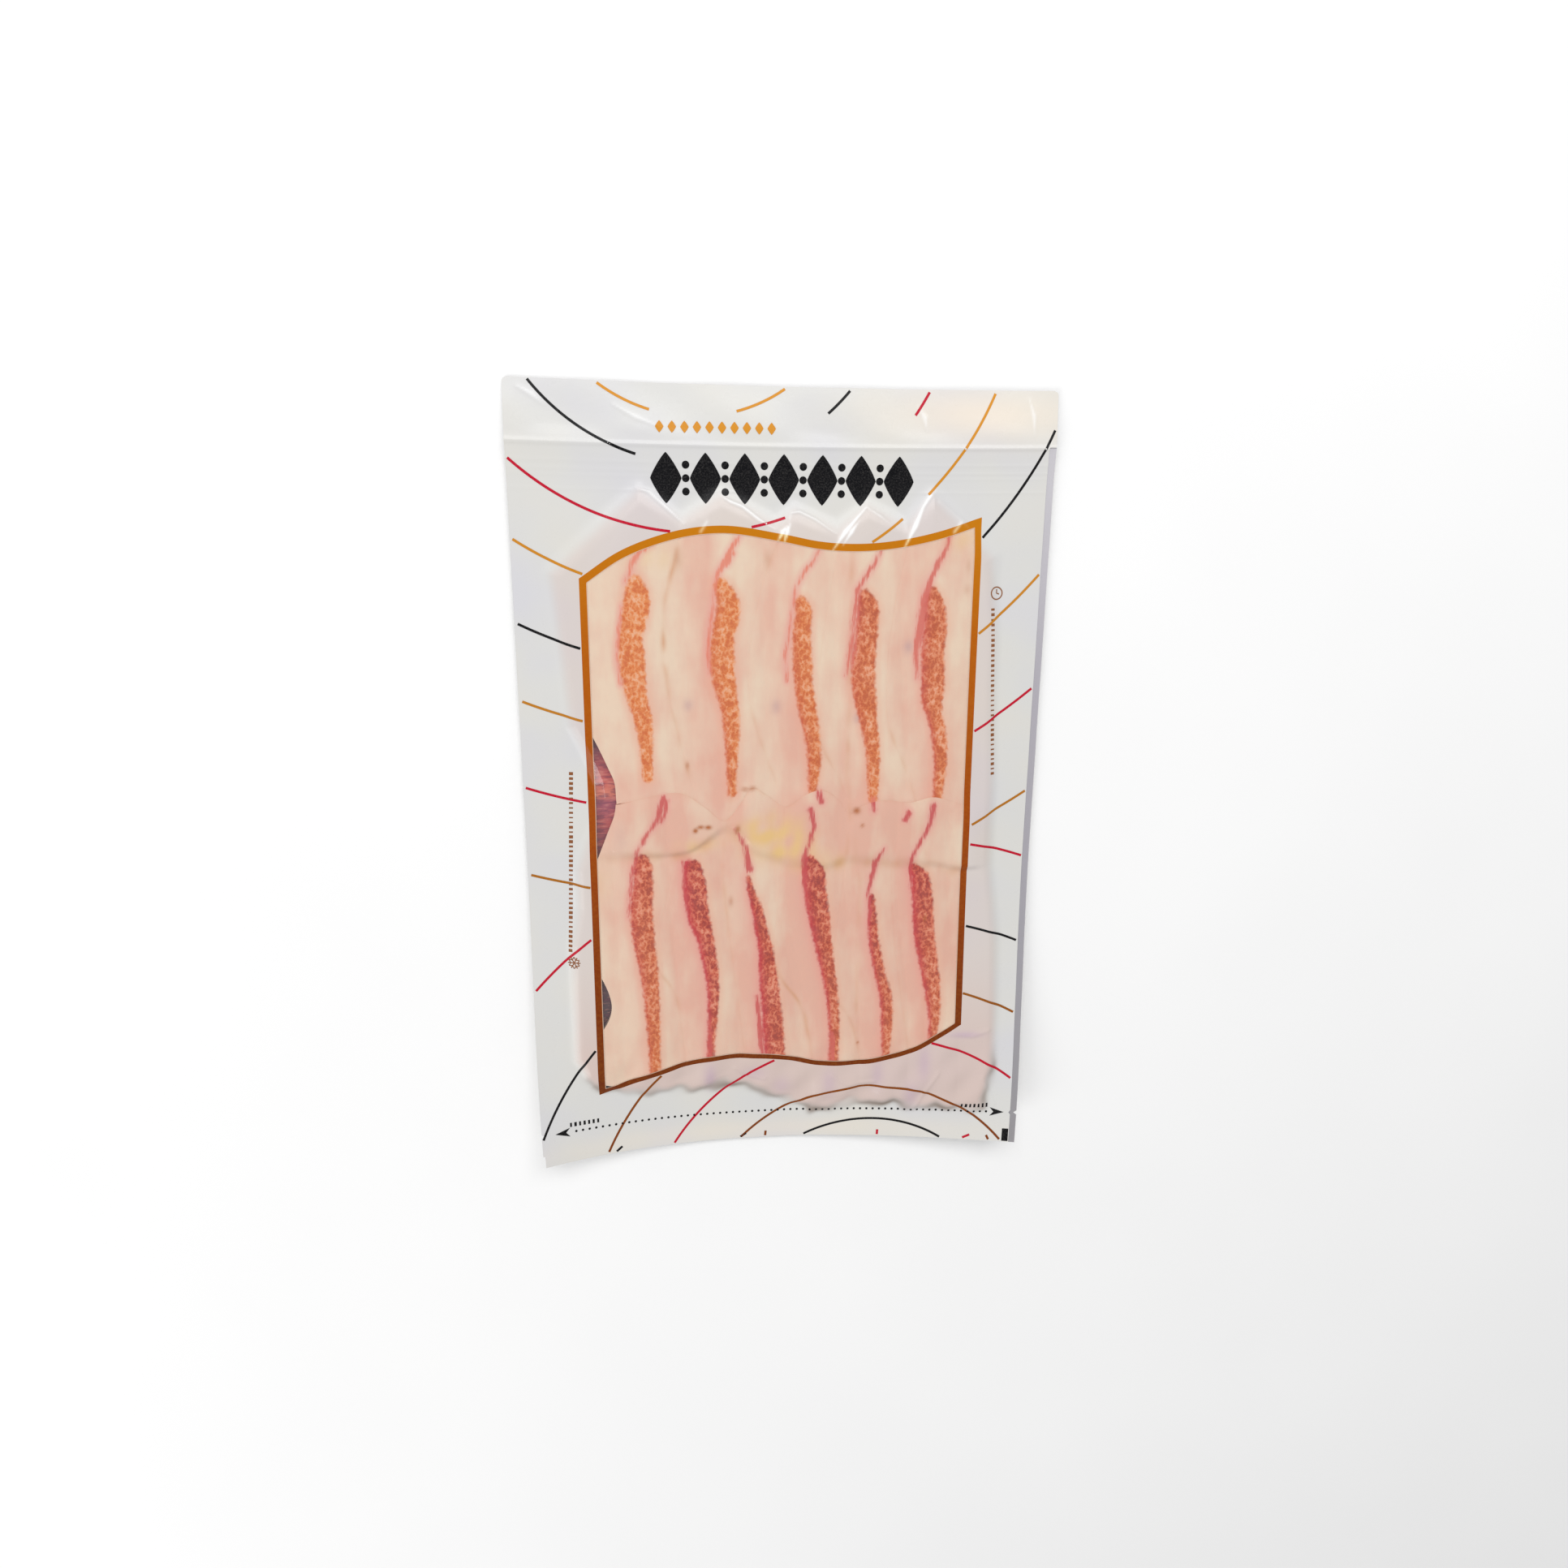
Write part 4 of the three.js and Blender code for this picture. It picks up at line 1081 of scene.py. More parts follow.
def seam_shade(x, y):
    """Darkness of the soft lines where one slice lies on another: painted shade, with the slices' browner
    edges at their seams.
    """
    in_band = soft_line(y - band_foot(x) + BAND_SHADE_BELOW, BAND_SHADE_WIDTH) * np.interp(x, *zip(*BAND_FOOT_SHADE))
    shade = np.maximum(in_band, soft_line(y - lower_head(x)) * np.interp(x, *zip(*HEAD_SHADE)))
    for edges, seams in ((UPPER_LEFT_EDGES, UPPER_SEAM_SHADES), (LOWER_LEFT_EDGES, LOWER_SEAM_SHADES)):
        for edge, rind_and_shade in zip(edges[1:], seams):
            shade = np.maximum(shade, soft_line(x - through(edge)(y)) * np.interp(y, *zip(*rind_and_shade)))
    return shade * (SEAM_EVEN + waves(x, y, *SEAM_UNEVEN))


LEAN_STEP = 2.5  # of the smooth line along a streak of lean
LEAN_REACH = 2.5  # a streak's redness is felt this far beside it
BLOOM_LEFT = (-2, 6)  # the pink bloom sets in over this stretch to the left of a streak's middle
BLOOM_END = (24, 4)  # and fades out again over this one
BLOOM_LEAST, BLOOM_SHARE = 0.12, 0.6
BLUSH_LEFT = (-1, 2.5)
BLUSH_BESIDE = 0.2  # the blush is strongest this far inside the lean's edge
BLUSH_REACH = 2.1
BLUSH_SHARES = (0.35, 1)  # beside plain fat and beside rosy fat
YELLOW_EVEN = 0.85
YELLOW_UNEVEN = (0.5, 8, 41)
BROWN_STRENGTH = 1.4
LEAST_WEIGHT = 1e-9  # keeps the mean redness defined far from every streak
LEAN_RANGE = (-6, 8)  # distances beyond these make no difference to the material
STRAND_RANGE = (-2, 4)


def food_fields(lean_lines, x, y):
    """What the slices' material needs to know at each point."""
    lean, weight, redness = np.full(np.shape(x), np.inf), LEAST_WEIGHT, 0
    bloom = np.zeros(np.shape(x))
    blush = np.zeros(np.shape(x))
    for head_red, tail_red, rosy, knots in lean_lines:
        line = smoothed([(kx, ky, width / 2) for ky, kx, width in knots], LEAN_STEP)
        apart = off_line(line, x, y)
        along = np.clip((knots[0][0] - y) / (knots[0][0] - knots[-1][0]), 0, 1)
        closeness = np.exp(-np.maximum(apart, 0) / LEAN_REACH)
        weight = weight + closeness
        redness = redness + closeness * mix(head_red, tail_red, along)
        lean = np.minimum(lean, apart)
        # The fat is pinker at the left of each streak, and rosy right beside it.
        to_middle = through([(ky, kx) for ky, kx, _ in reversed(knots)])(y) - x
        bloom = np.maximum(bloom, rosy * rise(*BLOOM_LEFT, to_middle) * rise(*BLOOM_END, to_middle))
        beside = np.exp(-np.abs(apart + BLUSH_BESIDE) / BLUSH_REACH)
        blush = np.maximum(blush, mix(*BLUSH_SHARES, rosy) * beside * rise(*BLUSH_LEFT, to_middle))
    strand = np.min([off_line(line, x, y) for line in STRANDS], axis=0)
    return {
        "lean": np.clip(lean, *LEAN_RANGE),
        "redness": redness / weight,
        "strand": np.clip(strand, *STRAND_RANGE),
        "bloom": BLOOM_LEAST + BLOOM_SHARE * bloom + stain(PINK, x, y),
        "blush": blush,
        "yellow": stain(YELLOW, x, y) * (YELLOW_EVEN + waves(x, y, *YELLOW_UNEVEN)),
        "brown": np.minimum(1, BROWN_STRENGTH * stain(BROWN, x, y)),
        "bruise": stain(BRUISE, x, y),
        "rind_and_shade": np.clip(seam_shade(x, y), 0, 1),
    }


UNDER_FRAME = 0.6  # the slices' top reaches at least this far beyond the window's top edge
UNDER_RIGHT_FRAME = 1.5  # and this far beyond its right one


def block_top(x):
    """Top outline of the slices over a column: the block's, or further up where the window's frame is."""
    knots = np.array([LEFT_SHOULDER, *TENTS, RIGHT_SHOULDER])
    return np.maximum(np.interp(x, knots[:, 0], knots[:, 1]) - SLICE_INSET, window_top(x) + UNDER_FRAME)


def block_bottom(x):
    knots = np.array([BLOCK_LEFT[0], *BLOCK_BOTTOM[::-1]])
    return np.interp(x, knots[:, 0], knots[:, 1]) + SLICE_INSET


def block_right(y):
    knots = np.array([RIGHT_SHOULDER, *BLOCK_RIGHT, BLOCK_BOTTOM[0]])[::-1]
    edge = np.interp(y, knots[:, 1], knots[:, 0]) - SLICE_INSET
    return np.maximum(edge, WINDOW_RIGHT + UNDER_RIGHT_FRAME)


UPPER_TAIL_WAVE = 2
UPPER_TAIL_PITCH = 9


def upper_tail(x):
    """Lower ends of the upper row, hidden under the lower row's heads."""
    return UPPER_TAIL_Y + UPPER_TAIL_WAVE * np.sin(x / UPPER_TAIL_PITCH)


def right_edge(lefts, number):
    """Right edge of a slice: under its right neighbour, or at the block's side."""
    def edge(y):
        far = block_right(y)
        return far if number == len(lefts) - 1 else np.minimum(far, lefts[number + 1](y) + UNDERLAP)
    return edge


def slice_shapes():
    """Every slice from the lowest to the topmost, with its four edges as functions."""
    shapes = []
    rows = (("upper", UPPER_LEFT_EDGES, UPPER_LEAN, upper_tail, block_top),
            ("lower", LOWER_LEFT_EDGES, LOWER_LEAN, block_bottom, lower_head))
    for row, left_edges, lean, bottom, top in rows:
        lefts = [through(edge) for edge in left_edges]
        for i, left in enumerate(lefts):
            shapes.append({"name": f"{row}_slice_{i + 1}", "left": left, "right": right_edge(lefts, i),
                           "bottom": bottom, "top": top, "lean": lean})
    return shapes


THIN_EDGE = 0.03
FULL_THICKNESS = 1.7  # more than at the edge, before the film presses the slices
THIN_RUN = (-0.3, 11)  # reached from just outside the edge to this far inside it
SLICE_GRID = (72, 150)  # points across and along a slice
PLAN_ROUNDS = 4
TOUCHING = 1e-6
UPPER_ROW_Y = (-30, 100)  # first guess of a slice's two ends, which its plan then refines
LOWER_ROW_Y = (-130, 100)
LEAST_ROOM = 0.3  # between the backing and the film
SLICE_FILL = 0.96  # of its share of the height, so that slices lie just clear of each other


def slice_thickness(shape, x, y):
    """Thickness of a slice before the film presses it, 0 outside it; its edges run out thin."""
    reach = np.min([x - shape["left"](y), shape["right"](y) - x,
                    shape["top"](x) - y, y - shape["bottom"](x)], axis=0)
    return np.where(reach > -TOUCHING, THIN_EDGE + FULL_THICKNESS * rise(*THIN_RUN, reach), 0)


def slice_plan(shape):
    """Grid of a slice between its four edges."""
    across = np.linspace(0, 1, SLICE_GRID[0])[None, :]
    up = np.linspace(0, 1, SLICE_GRID[1])[:, None]
    y = mix(*(LOWER_ROW_Y if shape["lean"] is LOWER_LEAN else UPPER_ROW_Y), up)
    for _ in range(PLAN_ROUNDS):
        x = mix(shape["left"](y), shape["right"](y), across)
        y = mix(shape["bottom"](x), shape["top"](x), up)
    return x, y


def make_slices(material):
    shapes = slice_shapes()
    for level, shape in enumerate(shapes):
        x, y = slice_plan(shape)
        rows, columns = x.shape
        thickness = [slice_thickness(other, x, y) for other in shapes]
        thickness[level] = np.maximum(thickness[level], THIN_EDGE)
        ceiling = front_height(x, y) - FILM_GAP
        floor = np.minimum(back_height(x, y) + LAMINATE, ceiling - LEAST_ROOM)
        pressed = (ceiling - floor) / sum(thickness)
        top = ceiling - pressed * sum(thickness[level + 1:])
        bottom = top - SLICE_FILL * pressed * thickness[level]
        fields = food_fields(shape["lean"], x, y)
        fields = {name: np.concatenate([values.ravel(), values.ravel()]) for name, values in fields.items()}
        count = rows * columns
        rim = rim_of(rows, columns)
        after = np.roll(rim, -1)
        points = np.concatenate([place(x, y, top).reshape(-1, 3), place(x, y, bottom).reshape(-1, 3)])
        walls = np.stack([rim + count, after + count, after, rim], -1)
        underside = grid_faces(rows, columns, turned=True) + count
        faces = np.concatenate([grid_faces(rows, columns), underside, walls])
        add_piece(shape["name"], points, faces, material, fields)


# ---- The print ----

INK_LIFT = 0.07  # the ink's faces lie this far over the film's
BOLD_LIFT = 0.09  # ornaments and signs lie over the ripples
MARK_LIFT = 0.10


def press_on_film(name, plan, faces, material, lift=INK_LIFT, under=False):
    """A flat print, as plan points in millimetres and faces, laid on the front film or under the backing."""
    x, y = plan[:, 0], plan[:, 1]
    height = back_height(x, y) - lift if under else front_height(x, y) + lift
    mesh = bpy.data.meshes.new(name)
    turned = [list(face)[::-1] if under else list(face) for face in faces]
    mesh.from_pydata(place(x, y, height).tolist(), [], turned)
    return finish_piece(name, mesh, material, False)


def ribbon(line, width, across=1, step=0.8, closed=False):
    """Flat band along a line of (x, y) points, as plan points and quads."""
    line = np.array(line, float)
    if closed:
        line = np.vstack([line, line[:1]])
    line = smoothed(line, step) if len(line) > 2 and not closed else resampled(line, step)
    if closed:
        line = line[:-1]
        ahead = np.roll(line, -1, 0) - np.roll(line, 1, 0)
    else:
        ahead = np.gradient(line, axis=0)
    ahead /= np.hypot(*ahead.T)[:, None]
    square = np.column_stack([-ahead[:, 1], ahead[:, 0]])
    offsets = np.linspace(-width / 2, width / 2, across + 1)
    points = (line[:, None, :] + square[:, None, :] * offsets[None, :, None]).reshape(-1, 2)
    count = len(line)
    at = np.arange(count * (across + 1)).reshape(count, across + 1)
    if closed:
        at = np.vstack([at, at[:1]])
    faces = np.stack([at[:-1, :-1], at[1:, :-1], at[1:, 1:], at[:-1, 1:]], -1).reshape(-1, 4)
    return points, faces


def resampled(line, step):
    """Points one step apart on the straight runs of a line."""
    run = np.concatenate([[0], np.cumsum(np.hypot(*np.diff(line, axis=0).T))])
    at = np.linspace(0, run[-1], max(2, int(round(run[-1] / step)) + 1))
    return np.stack([np.interp(at, run, values) for values in line.T], -1)


def straight(first, last, count):
    """Points along a straight line."""
    shares = np.linspace(0, 1, count)
    return list(zip(mix(first[0], last[0], shares), mix(first[1], last[1], shares)))


def joined(parts):
    """Several (points, faces) shapes as one."""
    points, faces, count = [], [], 0
    for part_points, part_faces in parts:
        points.append(part_points)
        faces.extend((np.asarray(face) + count).tolist() for face in part_faces)
        count += len(part_points)
    return np.concatenate(points), faces


def round_points(cx, cy, radius, turns):
    """Points of a circle at these turns."""
    return cx + radius * np.cos(turns), cy + radius * np.sin(turns)


LINE_WIDTH = 0.95
LINE_CLEARANCE = 0.2
SIDE_CLEARANCE = 0.6  # lines stop this far inside the pouch's sides
END_CLEARANCE = 0.5


def on_white(x, y):
    """Whether a plan point lies on the white print: outside the window and inside the pouch's edge."""
    right_side = WINDOW_RIGHT + right_lean(WINDOW_RIGHT, y)
    beside = (x < WINDOW_LEFT - LINE_CLEARANCE) | (x > right_side + LINE_CLEARANCE)
    clear = beside | (y > window_top(x) + LINE_CLEARANCE) | (y < window_bottom(x) - LINE_CLEARANCE)
    right_limit = np.where(y < crease_y(x), CLEAR_STRIP_X - LINE_CLEARANCE, HALF_WIDTH - SIDE_CLEARANCE)
    in_width = (x > -HALF_WIDTH + SIDE_CLEARANCE) & (x < right_limit)
    return clear & in_width & (y < top_edge_y(x) - END_CLEARANCE) & (y > -HALF_LENGTH + END_CLEARANCE)


def in_box(box, x, y, around=0):
    """Whether a point lies in a box of left, right, bottom and top, or this far around it."""
    left, right, low, high = box
    return (x > left - around) & (x < right + around) & (y > low - around) & (y < high + around)


# Ripples: rings round two far centres, as (centre x, centre y, rings of (radius, ink)).
RIPPLES = [
    (-34, 196, [(58, "ochre"), (74, "black"), (98, "red"), (120, "ochre"), (146, "black"), (172, "ochre"),
                (203, "red"), (236, "ochre")]),
    (38, -204, [(62, "black"), (78, "ochre"), (100, "red"), (124, "ochre"), (152, "black"), (186, "red")]),
]
RIPPLE_STEP = 0.8
SHORTEST_RUN = 5  # stretches of no more points than this are left out
ORNAMENT_BOX = (-54, 52, 104, 140)  # the ripples leave room for the ornaments: left, right, bottom, top


def shown_runs(x, y, shown):
    """The stretches of a line whose points are shown."""
    ends = np.flatnonzero(np.diff(shown.astype(int))) + 1
    runs = np.split(np.arange(len(x)), ends)
    return [np.column_stack([x[run], y[run]]) for run in runs if shown[run[0]] and len(run) > SHORTEST_RUN]


def make_ripples(inks, prefix, shows, under=False):
    """The rings' arcs wherever shows(x, y) holds, as one piece for each ink."""
    lines = {"black": [], "red": [], "ochre": []}
    for cx, cy, rings in RIPPLES:
        for radius, ink in rings:
            turns = np.linspace(0, 2 * math.pi, int(2 * math.pi * radius / RIPPLE_STEP))
            x, y = round_points(cx, cy, radius, turns)
            lines[ink] += shown_runs(x, y, shows(x, y))
    for ink, runs in lines.items():
        ribbons = joined([ribbon(run, LINE_WIDTH) for run in runs])
        press_on_film(f"{prefix}{ink}_ripples", *ribbons, inks[ink], under=under)


LOZENGE_ROUNDNESS = 1.15  # 1 is a plain lozenge, 2 an ellipse
LOZENGE_SIDES = 64


def lozenge(cx, cy, half_width, half_height):
    """Closed outline of a soft-cornered lozenge."""
    turns = np.linspace(0, 2 * math.pi, LOZENGE_SIDES, endpoint=False)
    cos, sin = np.cos(turns), np.sin(turns)
    size = (np.abs(cos) ** LOZENGE_ROUNDNESS + np.abs(sin) ** LOZENGE_ROUNDNESS) ** (-1 / LOZENGE_ROUNDNESS)
    return np.column_stack([cx + half_width * size * cos, cy + half_height * size * sin])


def circle(cx, cy, radius, sides=28):
    turns = np.linspace(0, 2 * math.pi, sides, endpoint=False)
    return np.column_stack(round_points(cx, cy, radius, turns))


def filled(outline, rings=5):
    """A solid shape inside a closed outline, in rings round its middle, so that it follows the film."""
    middle, count = outline.mean(0), len(outline)
    grown = [middle + (outline - middle) * ring / rings for ring in range(1, rings + 1)]
    points = np.concatenate([*grown, middle[None]])
    at = np.arange(count * rings).reshape(rings, count)
    ahead = np.roll(at, -1, 1)
    faces = np.stack([at[:-1], at[1:], ahead[1:], ahead[:-1]], -1).reshape(-1, 4).tolist()
    return points, faces + [[first, last, count * rings] for first, last in zip(at[0], ahead[0])]


# A frieze's lozenges, as (their middles' x, y, half width, half height).
FRIEZE = (np.linspace(-44, 41, 7), 117.0, 5.6, 8.8)
SMALL_FRIEZE = (np.linspace(-46, -6, 10), 134.4, 1.5, 2.1)
BEADS = (-4.6, 0, 4.6)
BEAD_RADIUS = 1.35


def lozenges(frieze, rings):
    xs, cy, half_width, half_height = frieze
    return [filled(lozenge(cx, cy, half_width, half_height), rings) for cx in xs]


def make_ornaments(inks):
    """A frieze of bold lozenges and beads above the window, and a row of small lozenges on the flap."""
    xs, cy = FRIEZE[:2]
    between = (xs[1:] + xs[:-1]) / 2
    beads = [filled(circle(cx, cy + rise_by, BEAD_RADIUS), 2) for cx in between for rise_by in BEADS]
    press_on_film("black_ornament", *joined(lozenges(FRIEZE, 5) + beads), inks["black"], BOLD_LIFT)
    press_on_film("ochre_ornament", *joined(lozenges(SMALL_FRIEZE, 2)), inks["ochre"], BOLD_LIFT)


CLOCK = (80.3, 77.1, 2.3)  # (x, y, radius)
CLOCK_HANDS = [((0, 1.5), (0, 0)), ((0, 0), (1.1, -0.3))]  # from and to, seen from the clock's middle
STAR = (-83.7, -67, 2.5)
STAR_SPOKES = 6
BARB_ROOT = 0.55  # a barb leaves its spoke at this share of its length
BARB_REACH = 0.95
BARB_TURN = 0.5
SIGN_STEP = 0.4
RING_STROKE, SIGN_STROKE, BARB_STROKE = 0.45, 0.4, 0.35


def make_signs(inks):
    """Generic signs beside the window: a clock ring and a frost star."""
    clock_x, clock_y, _ = CLOCK
    parts = [ribbon(circle(*CLOCK), RING_STROKE, 1, SIGN_STEP, closed=True)]
    for hand in CLOCK_HANDS:
        parts.append(ribbon([(clock_x + x, clock_y + y) for x, y in hand], SIGN_STROKE, 1, SIGN_STEP))
    star_x, star_y, reach = STAR
    for spoke in range(STAR_SPOKES):
        turn = spoke * 2 * math.pi / STAR_SPOKES
        tip = round_points(star_x, star_y, reach, turn)
        parts.append(ribbon([(star_x, star_y), tip], SIGN_STROKE, 1, SIGN_STEP))
        root = round_points(star_x, star_y, BARB_ROOT * reach, turn)
        for side in (-1, 1):
            end = round_points(star_x, star_y, BARB_REACH * reach, turn + side * BARB_TURN)
            parts.append(ribbon([root, end], BARB_STROKE, 1, SIGN_STEP))
    press_on_film("side_signs", *joined(parts), inks["brown"], BOLD_LIFT)


def repeat_along_path():
    """Geometry Nodes group that sets a shape along a path at a pitch, each a little shorter by chance."""
    group = bpy.data.node_groups.new("repeat_along_path", "GeometryNodeTree")
    for name, kind in (("Path", "Geometry"), ("Shape", "Object"), ("Pitch", "Float"), ("Shortest", "Float"),
                       ("Seed", "Int"), ("Ink", "Material")):
        group.interface.new_socket(name, in_out="INPUT", socket_type="NodeSocket" + kind)
    group.interface.new_socket("Marks", in_out="OUTPUT", socket_type="NodeSocketGeometry")
    given = add(group, "NodeGroupInput").outputs
    curve = add(group, "GeometryNodeMeshToCurve", {"Mesh": given["Path"]})
    stations = add(group, "GeometryNodeResampleCurve", {"Curve": curve, "Length": given["Pitch"]},
                   mode="LENGTH")
    tangent = add(group, "GeometryNodeInputTangent")
    turn = add(group, "FunctionNodeAlignRotationToVector", {"Vector": tangent}, axis="X")
    shape = add(group, "GeometryNodeObjectInfo", {"Object": given["Shape"]})
    length = add(group, "FunctionNodeRandomValue", {2: given["Shortest"], 3: 1.0, "Seed": given["Seed"]},
                 data_type="FLOAT")
    size = add(group, "ShaderNodeCombineXYZ", {0: length.outputs[1], 1: 1.0, 2: 1.0})
    marks = add(group, "GeometryNodeInstanceOnPoints", {
        "Points": stations, "Instance": shape.outputs["Geometry"], "Rotation": turn, "Scale": size})
    real = add(group, "GeometryNodeRealizeInstances", {0: marks})
    inked = add(group, "GeometryNodeSetMaterial", {"Geometry": real, "Material": given["Ink"]})
    add(group, "NodeGroupOutput", {0: inked})
    return group


def flat_object(name, plan, faces=(), edges=()):
    """A temporary flat object of plan points, in metres."""
    mesh = bpy.data.meshes.new(name)
    mesh.from_pydata([(x * MM, y * MM, 0) for x, y in plan], list(edges), [list(f) for f in faces])
    thing = bpy.data.objects.new(name, mesh)
    bpy.context.scene.collection.objects.link(thing)
    return thing


def repeated(name, group, paths, shape, pitch, shortest, seed, ink, under=False):
    """Marks along paths, as a printed piece on the film."""
    starts = np.cumsum([0] + [len(path) for path in paths])
    links = [(i, i + 1) for first, last in zip(starts, starts[1:]) for i in range(first, last - 1)]
    carrier = flat_object(name + "_path", sum(paths, []), edges=links)
    stamp = flat_object(name + "_shape", *shape)
    modifier = carrier.modifiers.new("marks", "NODES")
    modifier.node_group = group
    wanted = {"Shape": stamp, "Pitch": pitch * MM, "Shortest": shortest, "Seed": seed, "Ink": ink}
    for item in group.interface.items_tree:
        if item.item_type == "SOCKET" and item.name in wanted:
            modifier[item.identifier] = wanted[item.name]
    evaluated = carrier.evaluated_get(bpy.context.evaluated_depsgraph_get())
    marks = bpy.data.meshes.new_from_object(evaluated)
    plan = np.zeros(len(marks.vertices) * 3)
    marks.vertices.foreach_get("co", plan)
    plan = plan.reshape(-1, 3)[:, :2] / MM
    faces = [tuple(face.vertices) for face in marks.polygons]
    for thing in (carrier, stamp):
        bpy.data.objects.remove(thing)
    return press_on_film(name, plan, faces, ink, under=under)


def bar(length, height):
    """Flat bar along X, as a stamp."""
    x, y = length / 2, height / 2
    return np.array([(-x, -y), (x, -y), (x, y), (-x, y)]), [(0, 1, 2, 3)]


def disc(radius, sides=12):
    return circle(0, 0, radius, sides), [tuple(range(sides))]


TEAR_STROKES_Y = TEAR_Y + 2.9
# What repeats along a line, as (piece, path, stamp, pitch, shortest stamp, seed, ink).
MARKS = [
    ("tear_dots", straight((-86, TEAR_Y), (87, TEAR_Y), 64), disc(0.5), 2.7, 1.0, 1, "black"),
    ("left_notice_strokes", straight((-85, -62), (-82, 9), 30), bar(1.25, 1.5), 1.9, 0.35, 3, "brown"),
    ("right_notice_strokes", straight((82.5, 7), (79, 71), 30), bar(1.25, 1.5), 1.9, 0.35, 4, "brown"),
    ("tear_word_left", straight((-88, TEAR_STROKES_Y), (-77, TEAR_STROKES_Y), 6),
     bar(1.0, 1.7), 1.6, 0.5, 5, "black"),
    ("tear_word_right", straight((76, TEAR_STROKES_Y), (87, TEAR_STROKES_Y), 6),
     bar(1.0, 1.7), 1.6, 0.5, 5, "black"),
]


def make_marks(inks, group):
    """Everything that repeats along a line: the tear line's dots and the notices' rows of strokes."""
    for name, path, stamp, pitch, shortest, seed, ink in MARKS:
        repeated(name, group, [path], stamp, pitch, shortest, seed, inks[ink])


PANEL = (-62, 62, -62, 58)  # the ruled panel on the underside: left, right, bottom, top
PANEL_CLEARANCE = 4
PANEL_RULE, PANEL_DIVIDER = 1.2, 0.8  # widths of its frame and of the line under its heading
PANEL_HEADING = 16  # height of the heading
PANEL_INSET = 8
PANEL_ROWS = 11
PANEL_LOZENGE = (3, 4.4)
PANEL_LOZENGES = 9
LOZENGE_INSET = 12
STROKE_ROW_POINTS = 24
PANEL_STROKES = (bar(3.4, 1.5), 4.4, 0.35, 6)  # stamp, pitch, shortest stamp, seed
UNDERSIDE_EDGE = (1, 2.5)  # the ripples stop this far inside the sides and the ends


def on_underside(x, y):
    """Whether a ripple shows at a point of the underside."""
    in_width = np.abs(x) < HALF_WIDTH - UNDERSIDE_EDGE[0]
    return in_width & (np.abs(y) < HALF_LENGTH - UNDERSIDE_EDGE[1]) & ~in_box(PANEL, x, y, PANEL_CLEARANCE)


def make_underside(inks, group):
    """The hidden side, finished like such packs' backs: ripples round a ruled panel with rows of strokes."""
    make_ripples(inks, "underside_", on_underside, under=True)
    left, right, low, high = PANEL
    corners = [(left, low), (right, low), (right, high), (left, high)]
    divider = [(left, high - PANEL_HEADING), (right, high - PANEL_HEADING)]
    rules = [ribbon(corners, PANEL_RULE, closed=True), ribbon(divider, PANEL_DIVIDER)]
    press_on_film("underside_panel", *joined(rules), inks["ochre"], under=True)
    row_heights = [high - PANEL_HEADING - PANEL_INSET * (row + 1) for row in range(PANEL_ROWS)]
    rows = [straight((left + PANEL_INSET, y), (right - PANEL_INSET, y), STROKE_ROW_POINTS)
            for y in row_heights]
    repeated("underside_strokes", group, rows, *PANEL_STROKES, inks["brown"], under=True)
    places = np.linspace(left + LOZENGE_INSET, right - LOZENGE_INSET, PANEL_LOZENGES)
    heading = (places, high - PANEL_HEADING / 2, *PANEL_LOZENGE)
    press_on_film("underside_heading", *joined(lozenges(heading, 2)), inks["black"], under=True)


ARROW_TIP_X = 94.5
ARROW_LENGTH = 6
ARROW_NOTCH = 4.4  # from the tip to the notch between the barbs
ARROW_HALF = 1.8


def arrowhead(side):
    """Barbed arrowhead at one end of the tear line, as plan points and faces."""
    tip = side * ARROW_TIP_X
    back = tip - side * ARROW_LENGTH
    notch = tip - side * ARROW_NOTCH
    points = [(tip, TEAR_Y), (back, TEAR_Y + ARROW_HALF), (notch, TEAR_Y), (back, TEAR_Y - ARROW_HALF)]
    return np.array(points), [(0, 1, 2), (0, 2, 3)] if side > 0 else [(0, 2, 1), (0, 3, 2)]


REGISTRATION_MARK = (94.3, 97.0, -149.6, -144.4)  # left, right, bottom, top
PATCH_STEP = 0.7


def rectangle(left, right, low, high):
    """Upright patch, divided so that it follows the film."""
    line = [((left + right) / 2, low), ((left + right) / 2, high)]
    return ribbon(line, right - left, 3, PATCH_STEP)


# Short ticks at the bottom edge, as lines for each ink.
EDGE_TICKS = {
    "black": [[(-70, -149.4), (-67.6, -147.6)], [(-18, -149.4), (-15.6, -147.8)]],
    "ochre": [[(-7.5, -149.4), (-7.3, -147.2)], [(88.6, -149.4), (87.6, -147.6)]],
    "red": [[(40.5, -149.4), (40.6, -147.2)], [(77.4, -149.2), (80.4, -147.8)]],
}


def make_print(inks):
    group = repeat_along_path()
    make_ripples(inks, "", lambda x, y: on_white(x, y) & ~in_box(ORNAMENT_BOX, x, y))
    make_ornaments(inks)
    make_signs(inks)
    make_marks(inks, group)
    make_underside(inks, group)
    press_on_film("tear_arrows", *joined([arrowhead(-1), arrowhead(1)]), inks["black"])
    press_on_film("registration_mark", *rectangle(*REGISTRATION_MARK), inks["black"], MARK_LIFT)
    for ink, ticks in EDGE_TICKS.items():
        press_on_film(f"{ink}_edge_ticks", *joined([ribbon(tick, LINE_WIDTH) for tick in ticks]), inks[ink])


# ---- Stage, light and camera ----

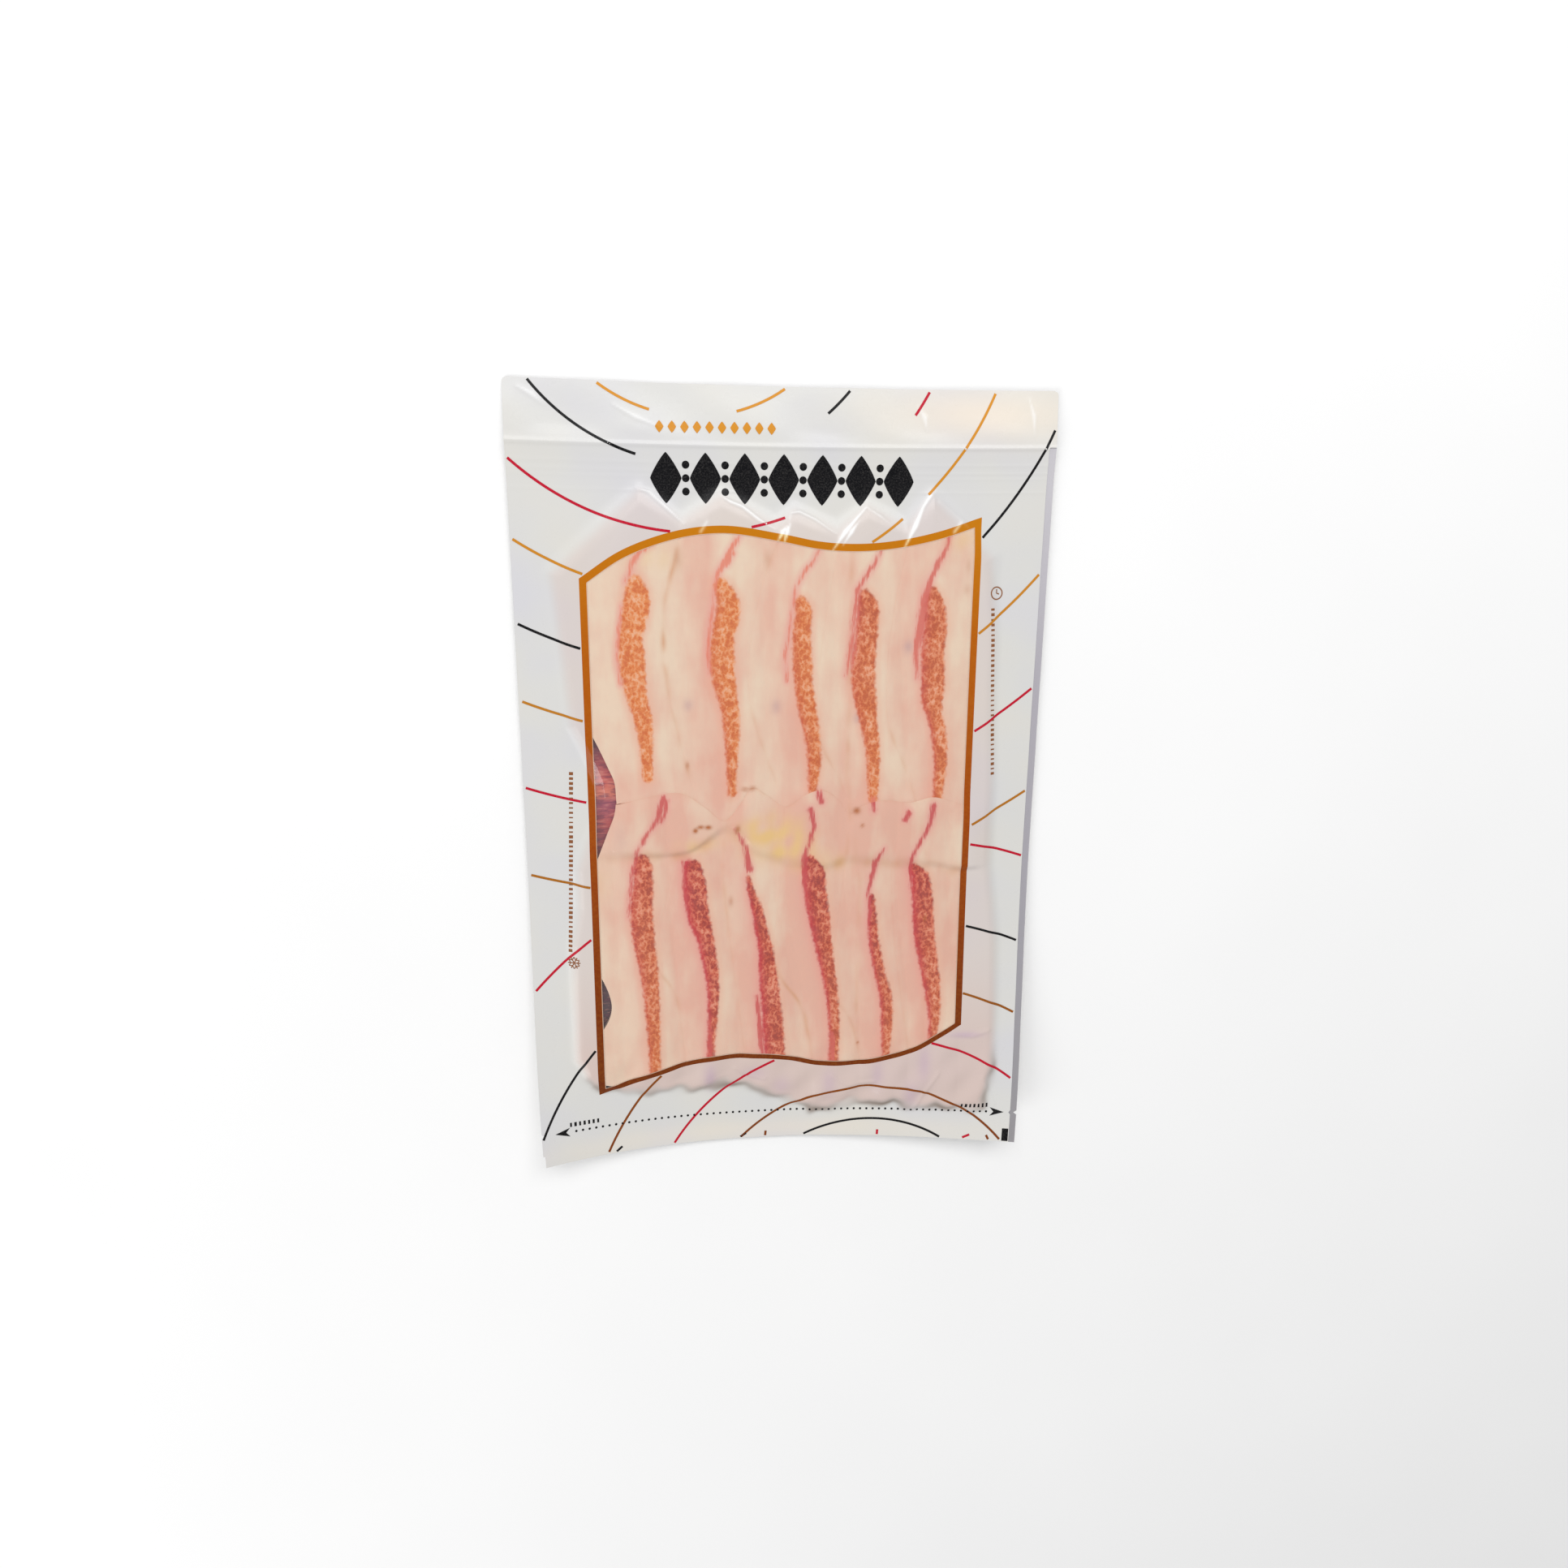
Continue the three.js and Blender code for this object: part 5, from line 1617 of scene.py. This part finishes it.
FLOOR_HALF = 1.6
CAMERA_AT = (-0.03690, 0.08362, 0.35585)
CAMERA_AIM = (-0.00053, 0.00367, 0.0022)
CAMERA_ROLL = math.radians(0.43)
LENS = 21.43
SENSOR = 36
NEAR_CLIP = 0.01
SKY_STRENGTH = 0.5
# Softboxes aimed at the origin, as (name, place, width, height, watts).
SOFTBOXES = [
    ("top_softbox", (0.04, 0.86, 1.05), 1.3, 0.5, 10),
    ("side_softbox", (-0.75, -0.65, 0.7), 0.6, 0.6, 3.6),
]


def make_stage():
    half = FLOOR_HALF
    corners = [(-half, -half, 0), (half, -half, 0), (half, half, 0), (-half, half, 0)]
    mesh = bpy.data.meshes.new("floor")
    mesh.from_pydata(corners, [], [(0, 1, 2, 3)])
    mesh.materials.append(plain_floor())
    floor = bpy.data.objects.new("floor", mesh)
    bpy.context.scene.collection.objects.link(floor)


def make_light():
    world = bpy.data.worlds.new("soft_studio")
    world.use_nodes = True
    background = world.node_tree.nodes["Background"]
    background.inputs["Color"].default_value = (1, 1, 1, 1)
    background.inputs["Strength"].default_value = SKY_STRENGTH
    bpy.context.scene.world = world
    for name, at, width, height, watts in SOFTBOXES:
        light = bpy.data.lights.new(name, "AREA")
        light.shape = "RECTANGLE"
        light.size = width
        light.size_y = height
        light.energy = watts
        lamp = bpy.data.objects.new(name, light)
        lamp.location = at
        lamp.rotation_euler = (-Vector(at)).to_track_quat("-Z", "Y").to_euler()
        bpy.context.scene.collection.objects.link(lamp)


def make_camera():
    data = bpy.data.cameras.new("photo_camera")
    data.lens = LENS
    data.sensor_width = SENSOR
    data.clip_start = NEAR_CLIP
    camera = bpy.data.objects.new("photo_camera", data)
    backwards = (Vector(CAMERA_AT) - Vector(CAMERA_AIM)).normalized()
    rightwards = Vector((0, 1, 0)).cross(backwards).normalized()
    axes = Matrix((rightwards, backwards.cross(rightwards), backwards)).transposed()
    camera.matrix_world = Matrix.Translation(CAMERA_AT) @ axes.to_4x4() @ Matrix.Rotation(CAMERA_ROLL, 4, "Z")
    bpy.context.scene.collection.objects.link(camera)
    bpy.context.scene.camera = camera


def main():
    materials = {
        "printed_laminate": printed_laminate(),
        "frame_ink": frame_ink(),
        "clear_laminate": clear_laminate(),
        "backing_print": backing_print(),
    }
    inks = {
        "black": line_ink("black_ink", "#0c0c10", "#0c0b0e"),
        "red": line_ink("red_ink", "#c40f30", "#c00c2a"),
        "ochre": line_ink("ochre_ink", "#dd9426", "#7e3a08"),
        "brown": line_ink("brown_ink", "#96603a", "#8a5230"),
    }
    make_films(materials)
    make_slices(cured_jowl())
    make_print(inks)
    make_stage()
    make_light()
    make_camera()
    bpy.context.scene.view_settings.view_transform = "Standard"


main()
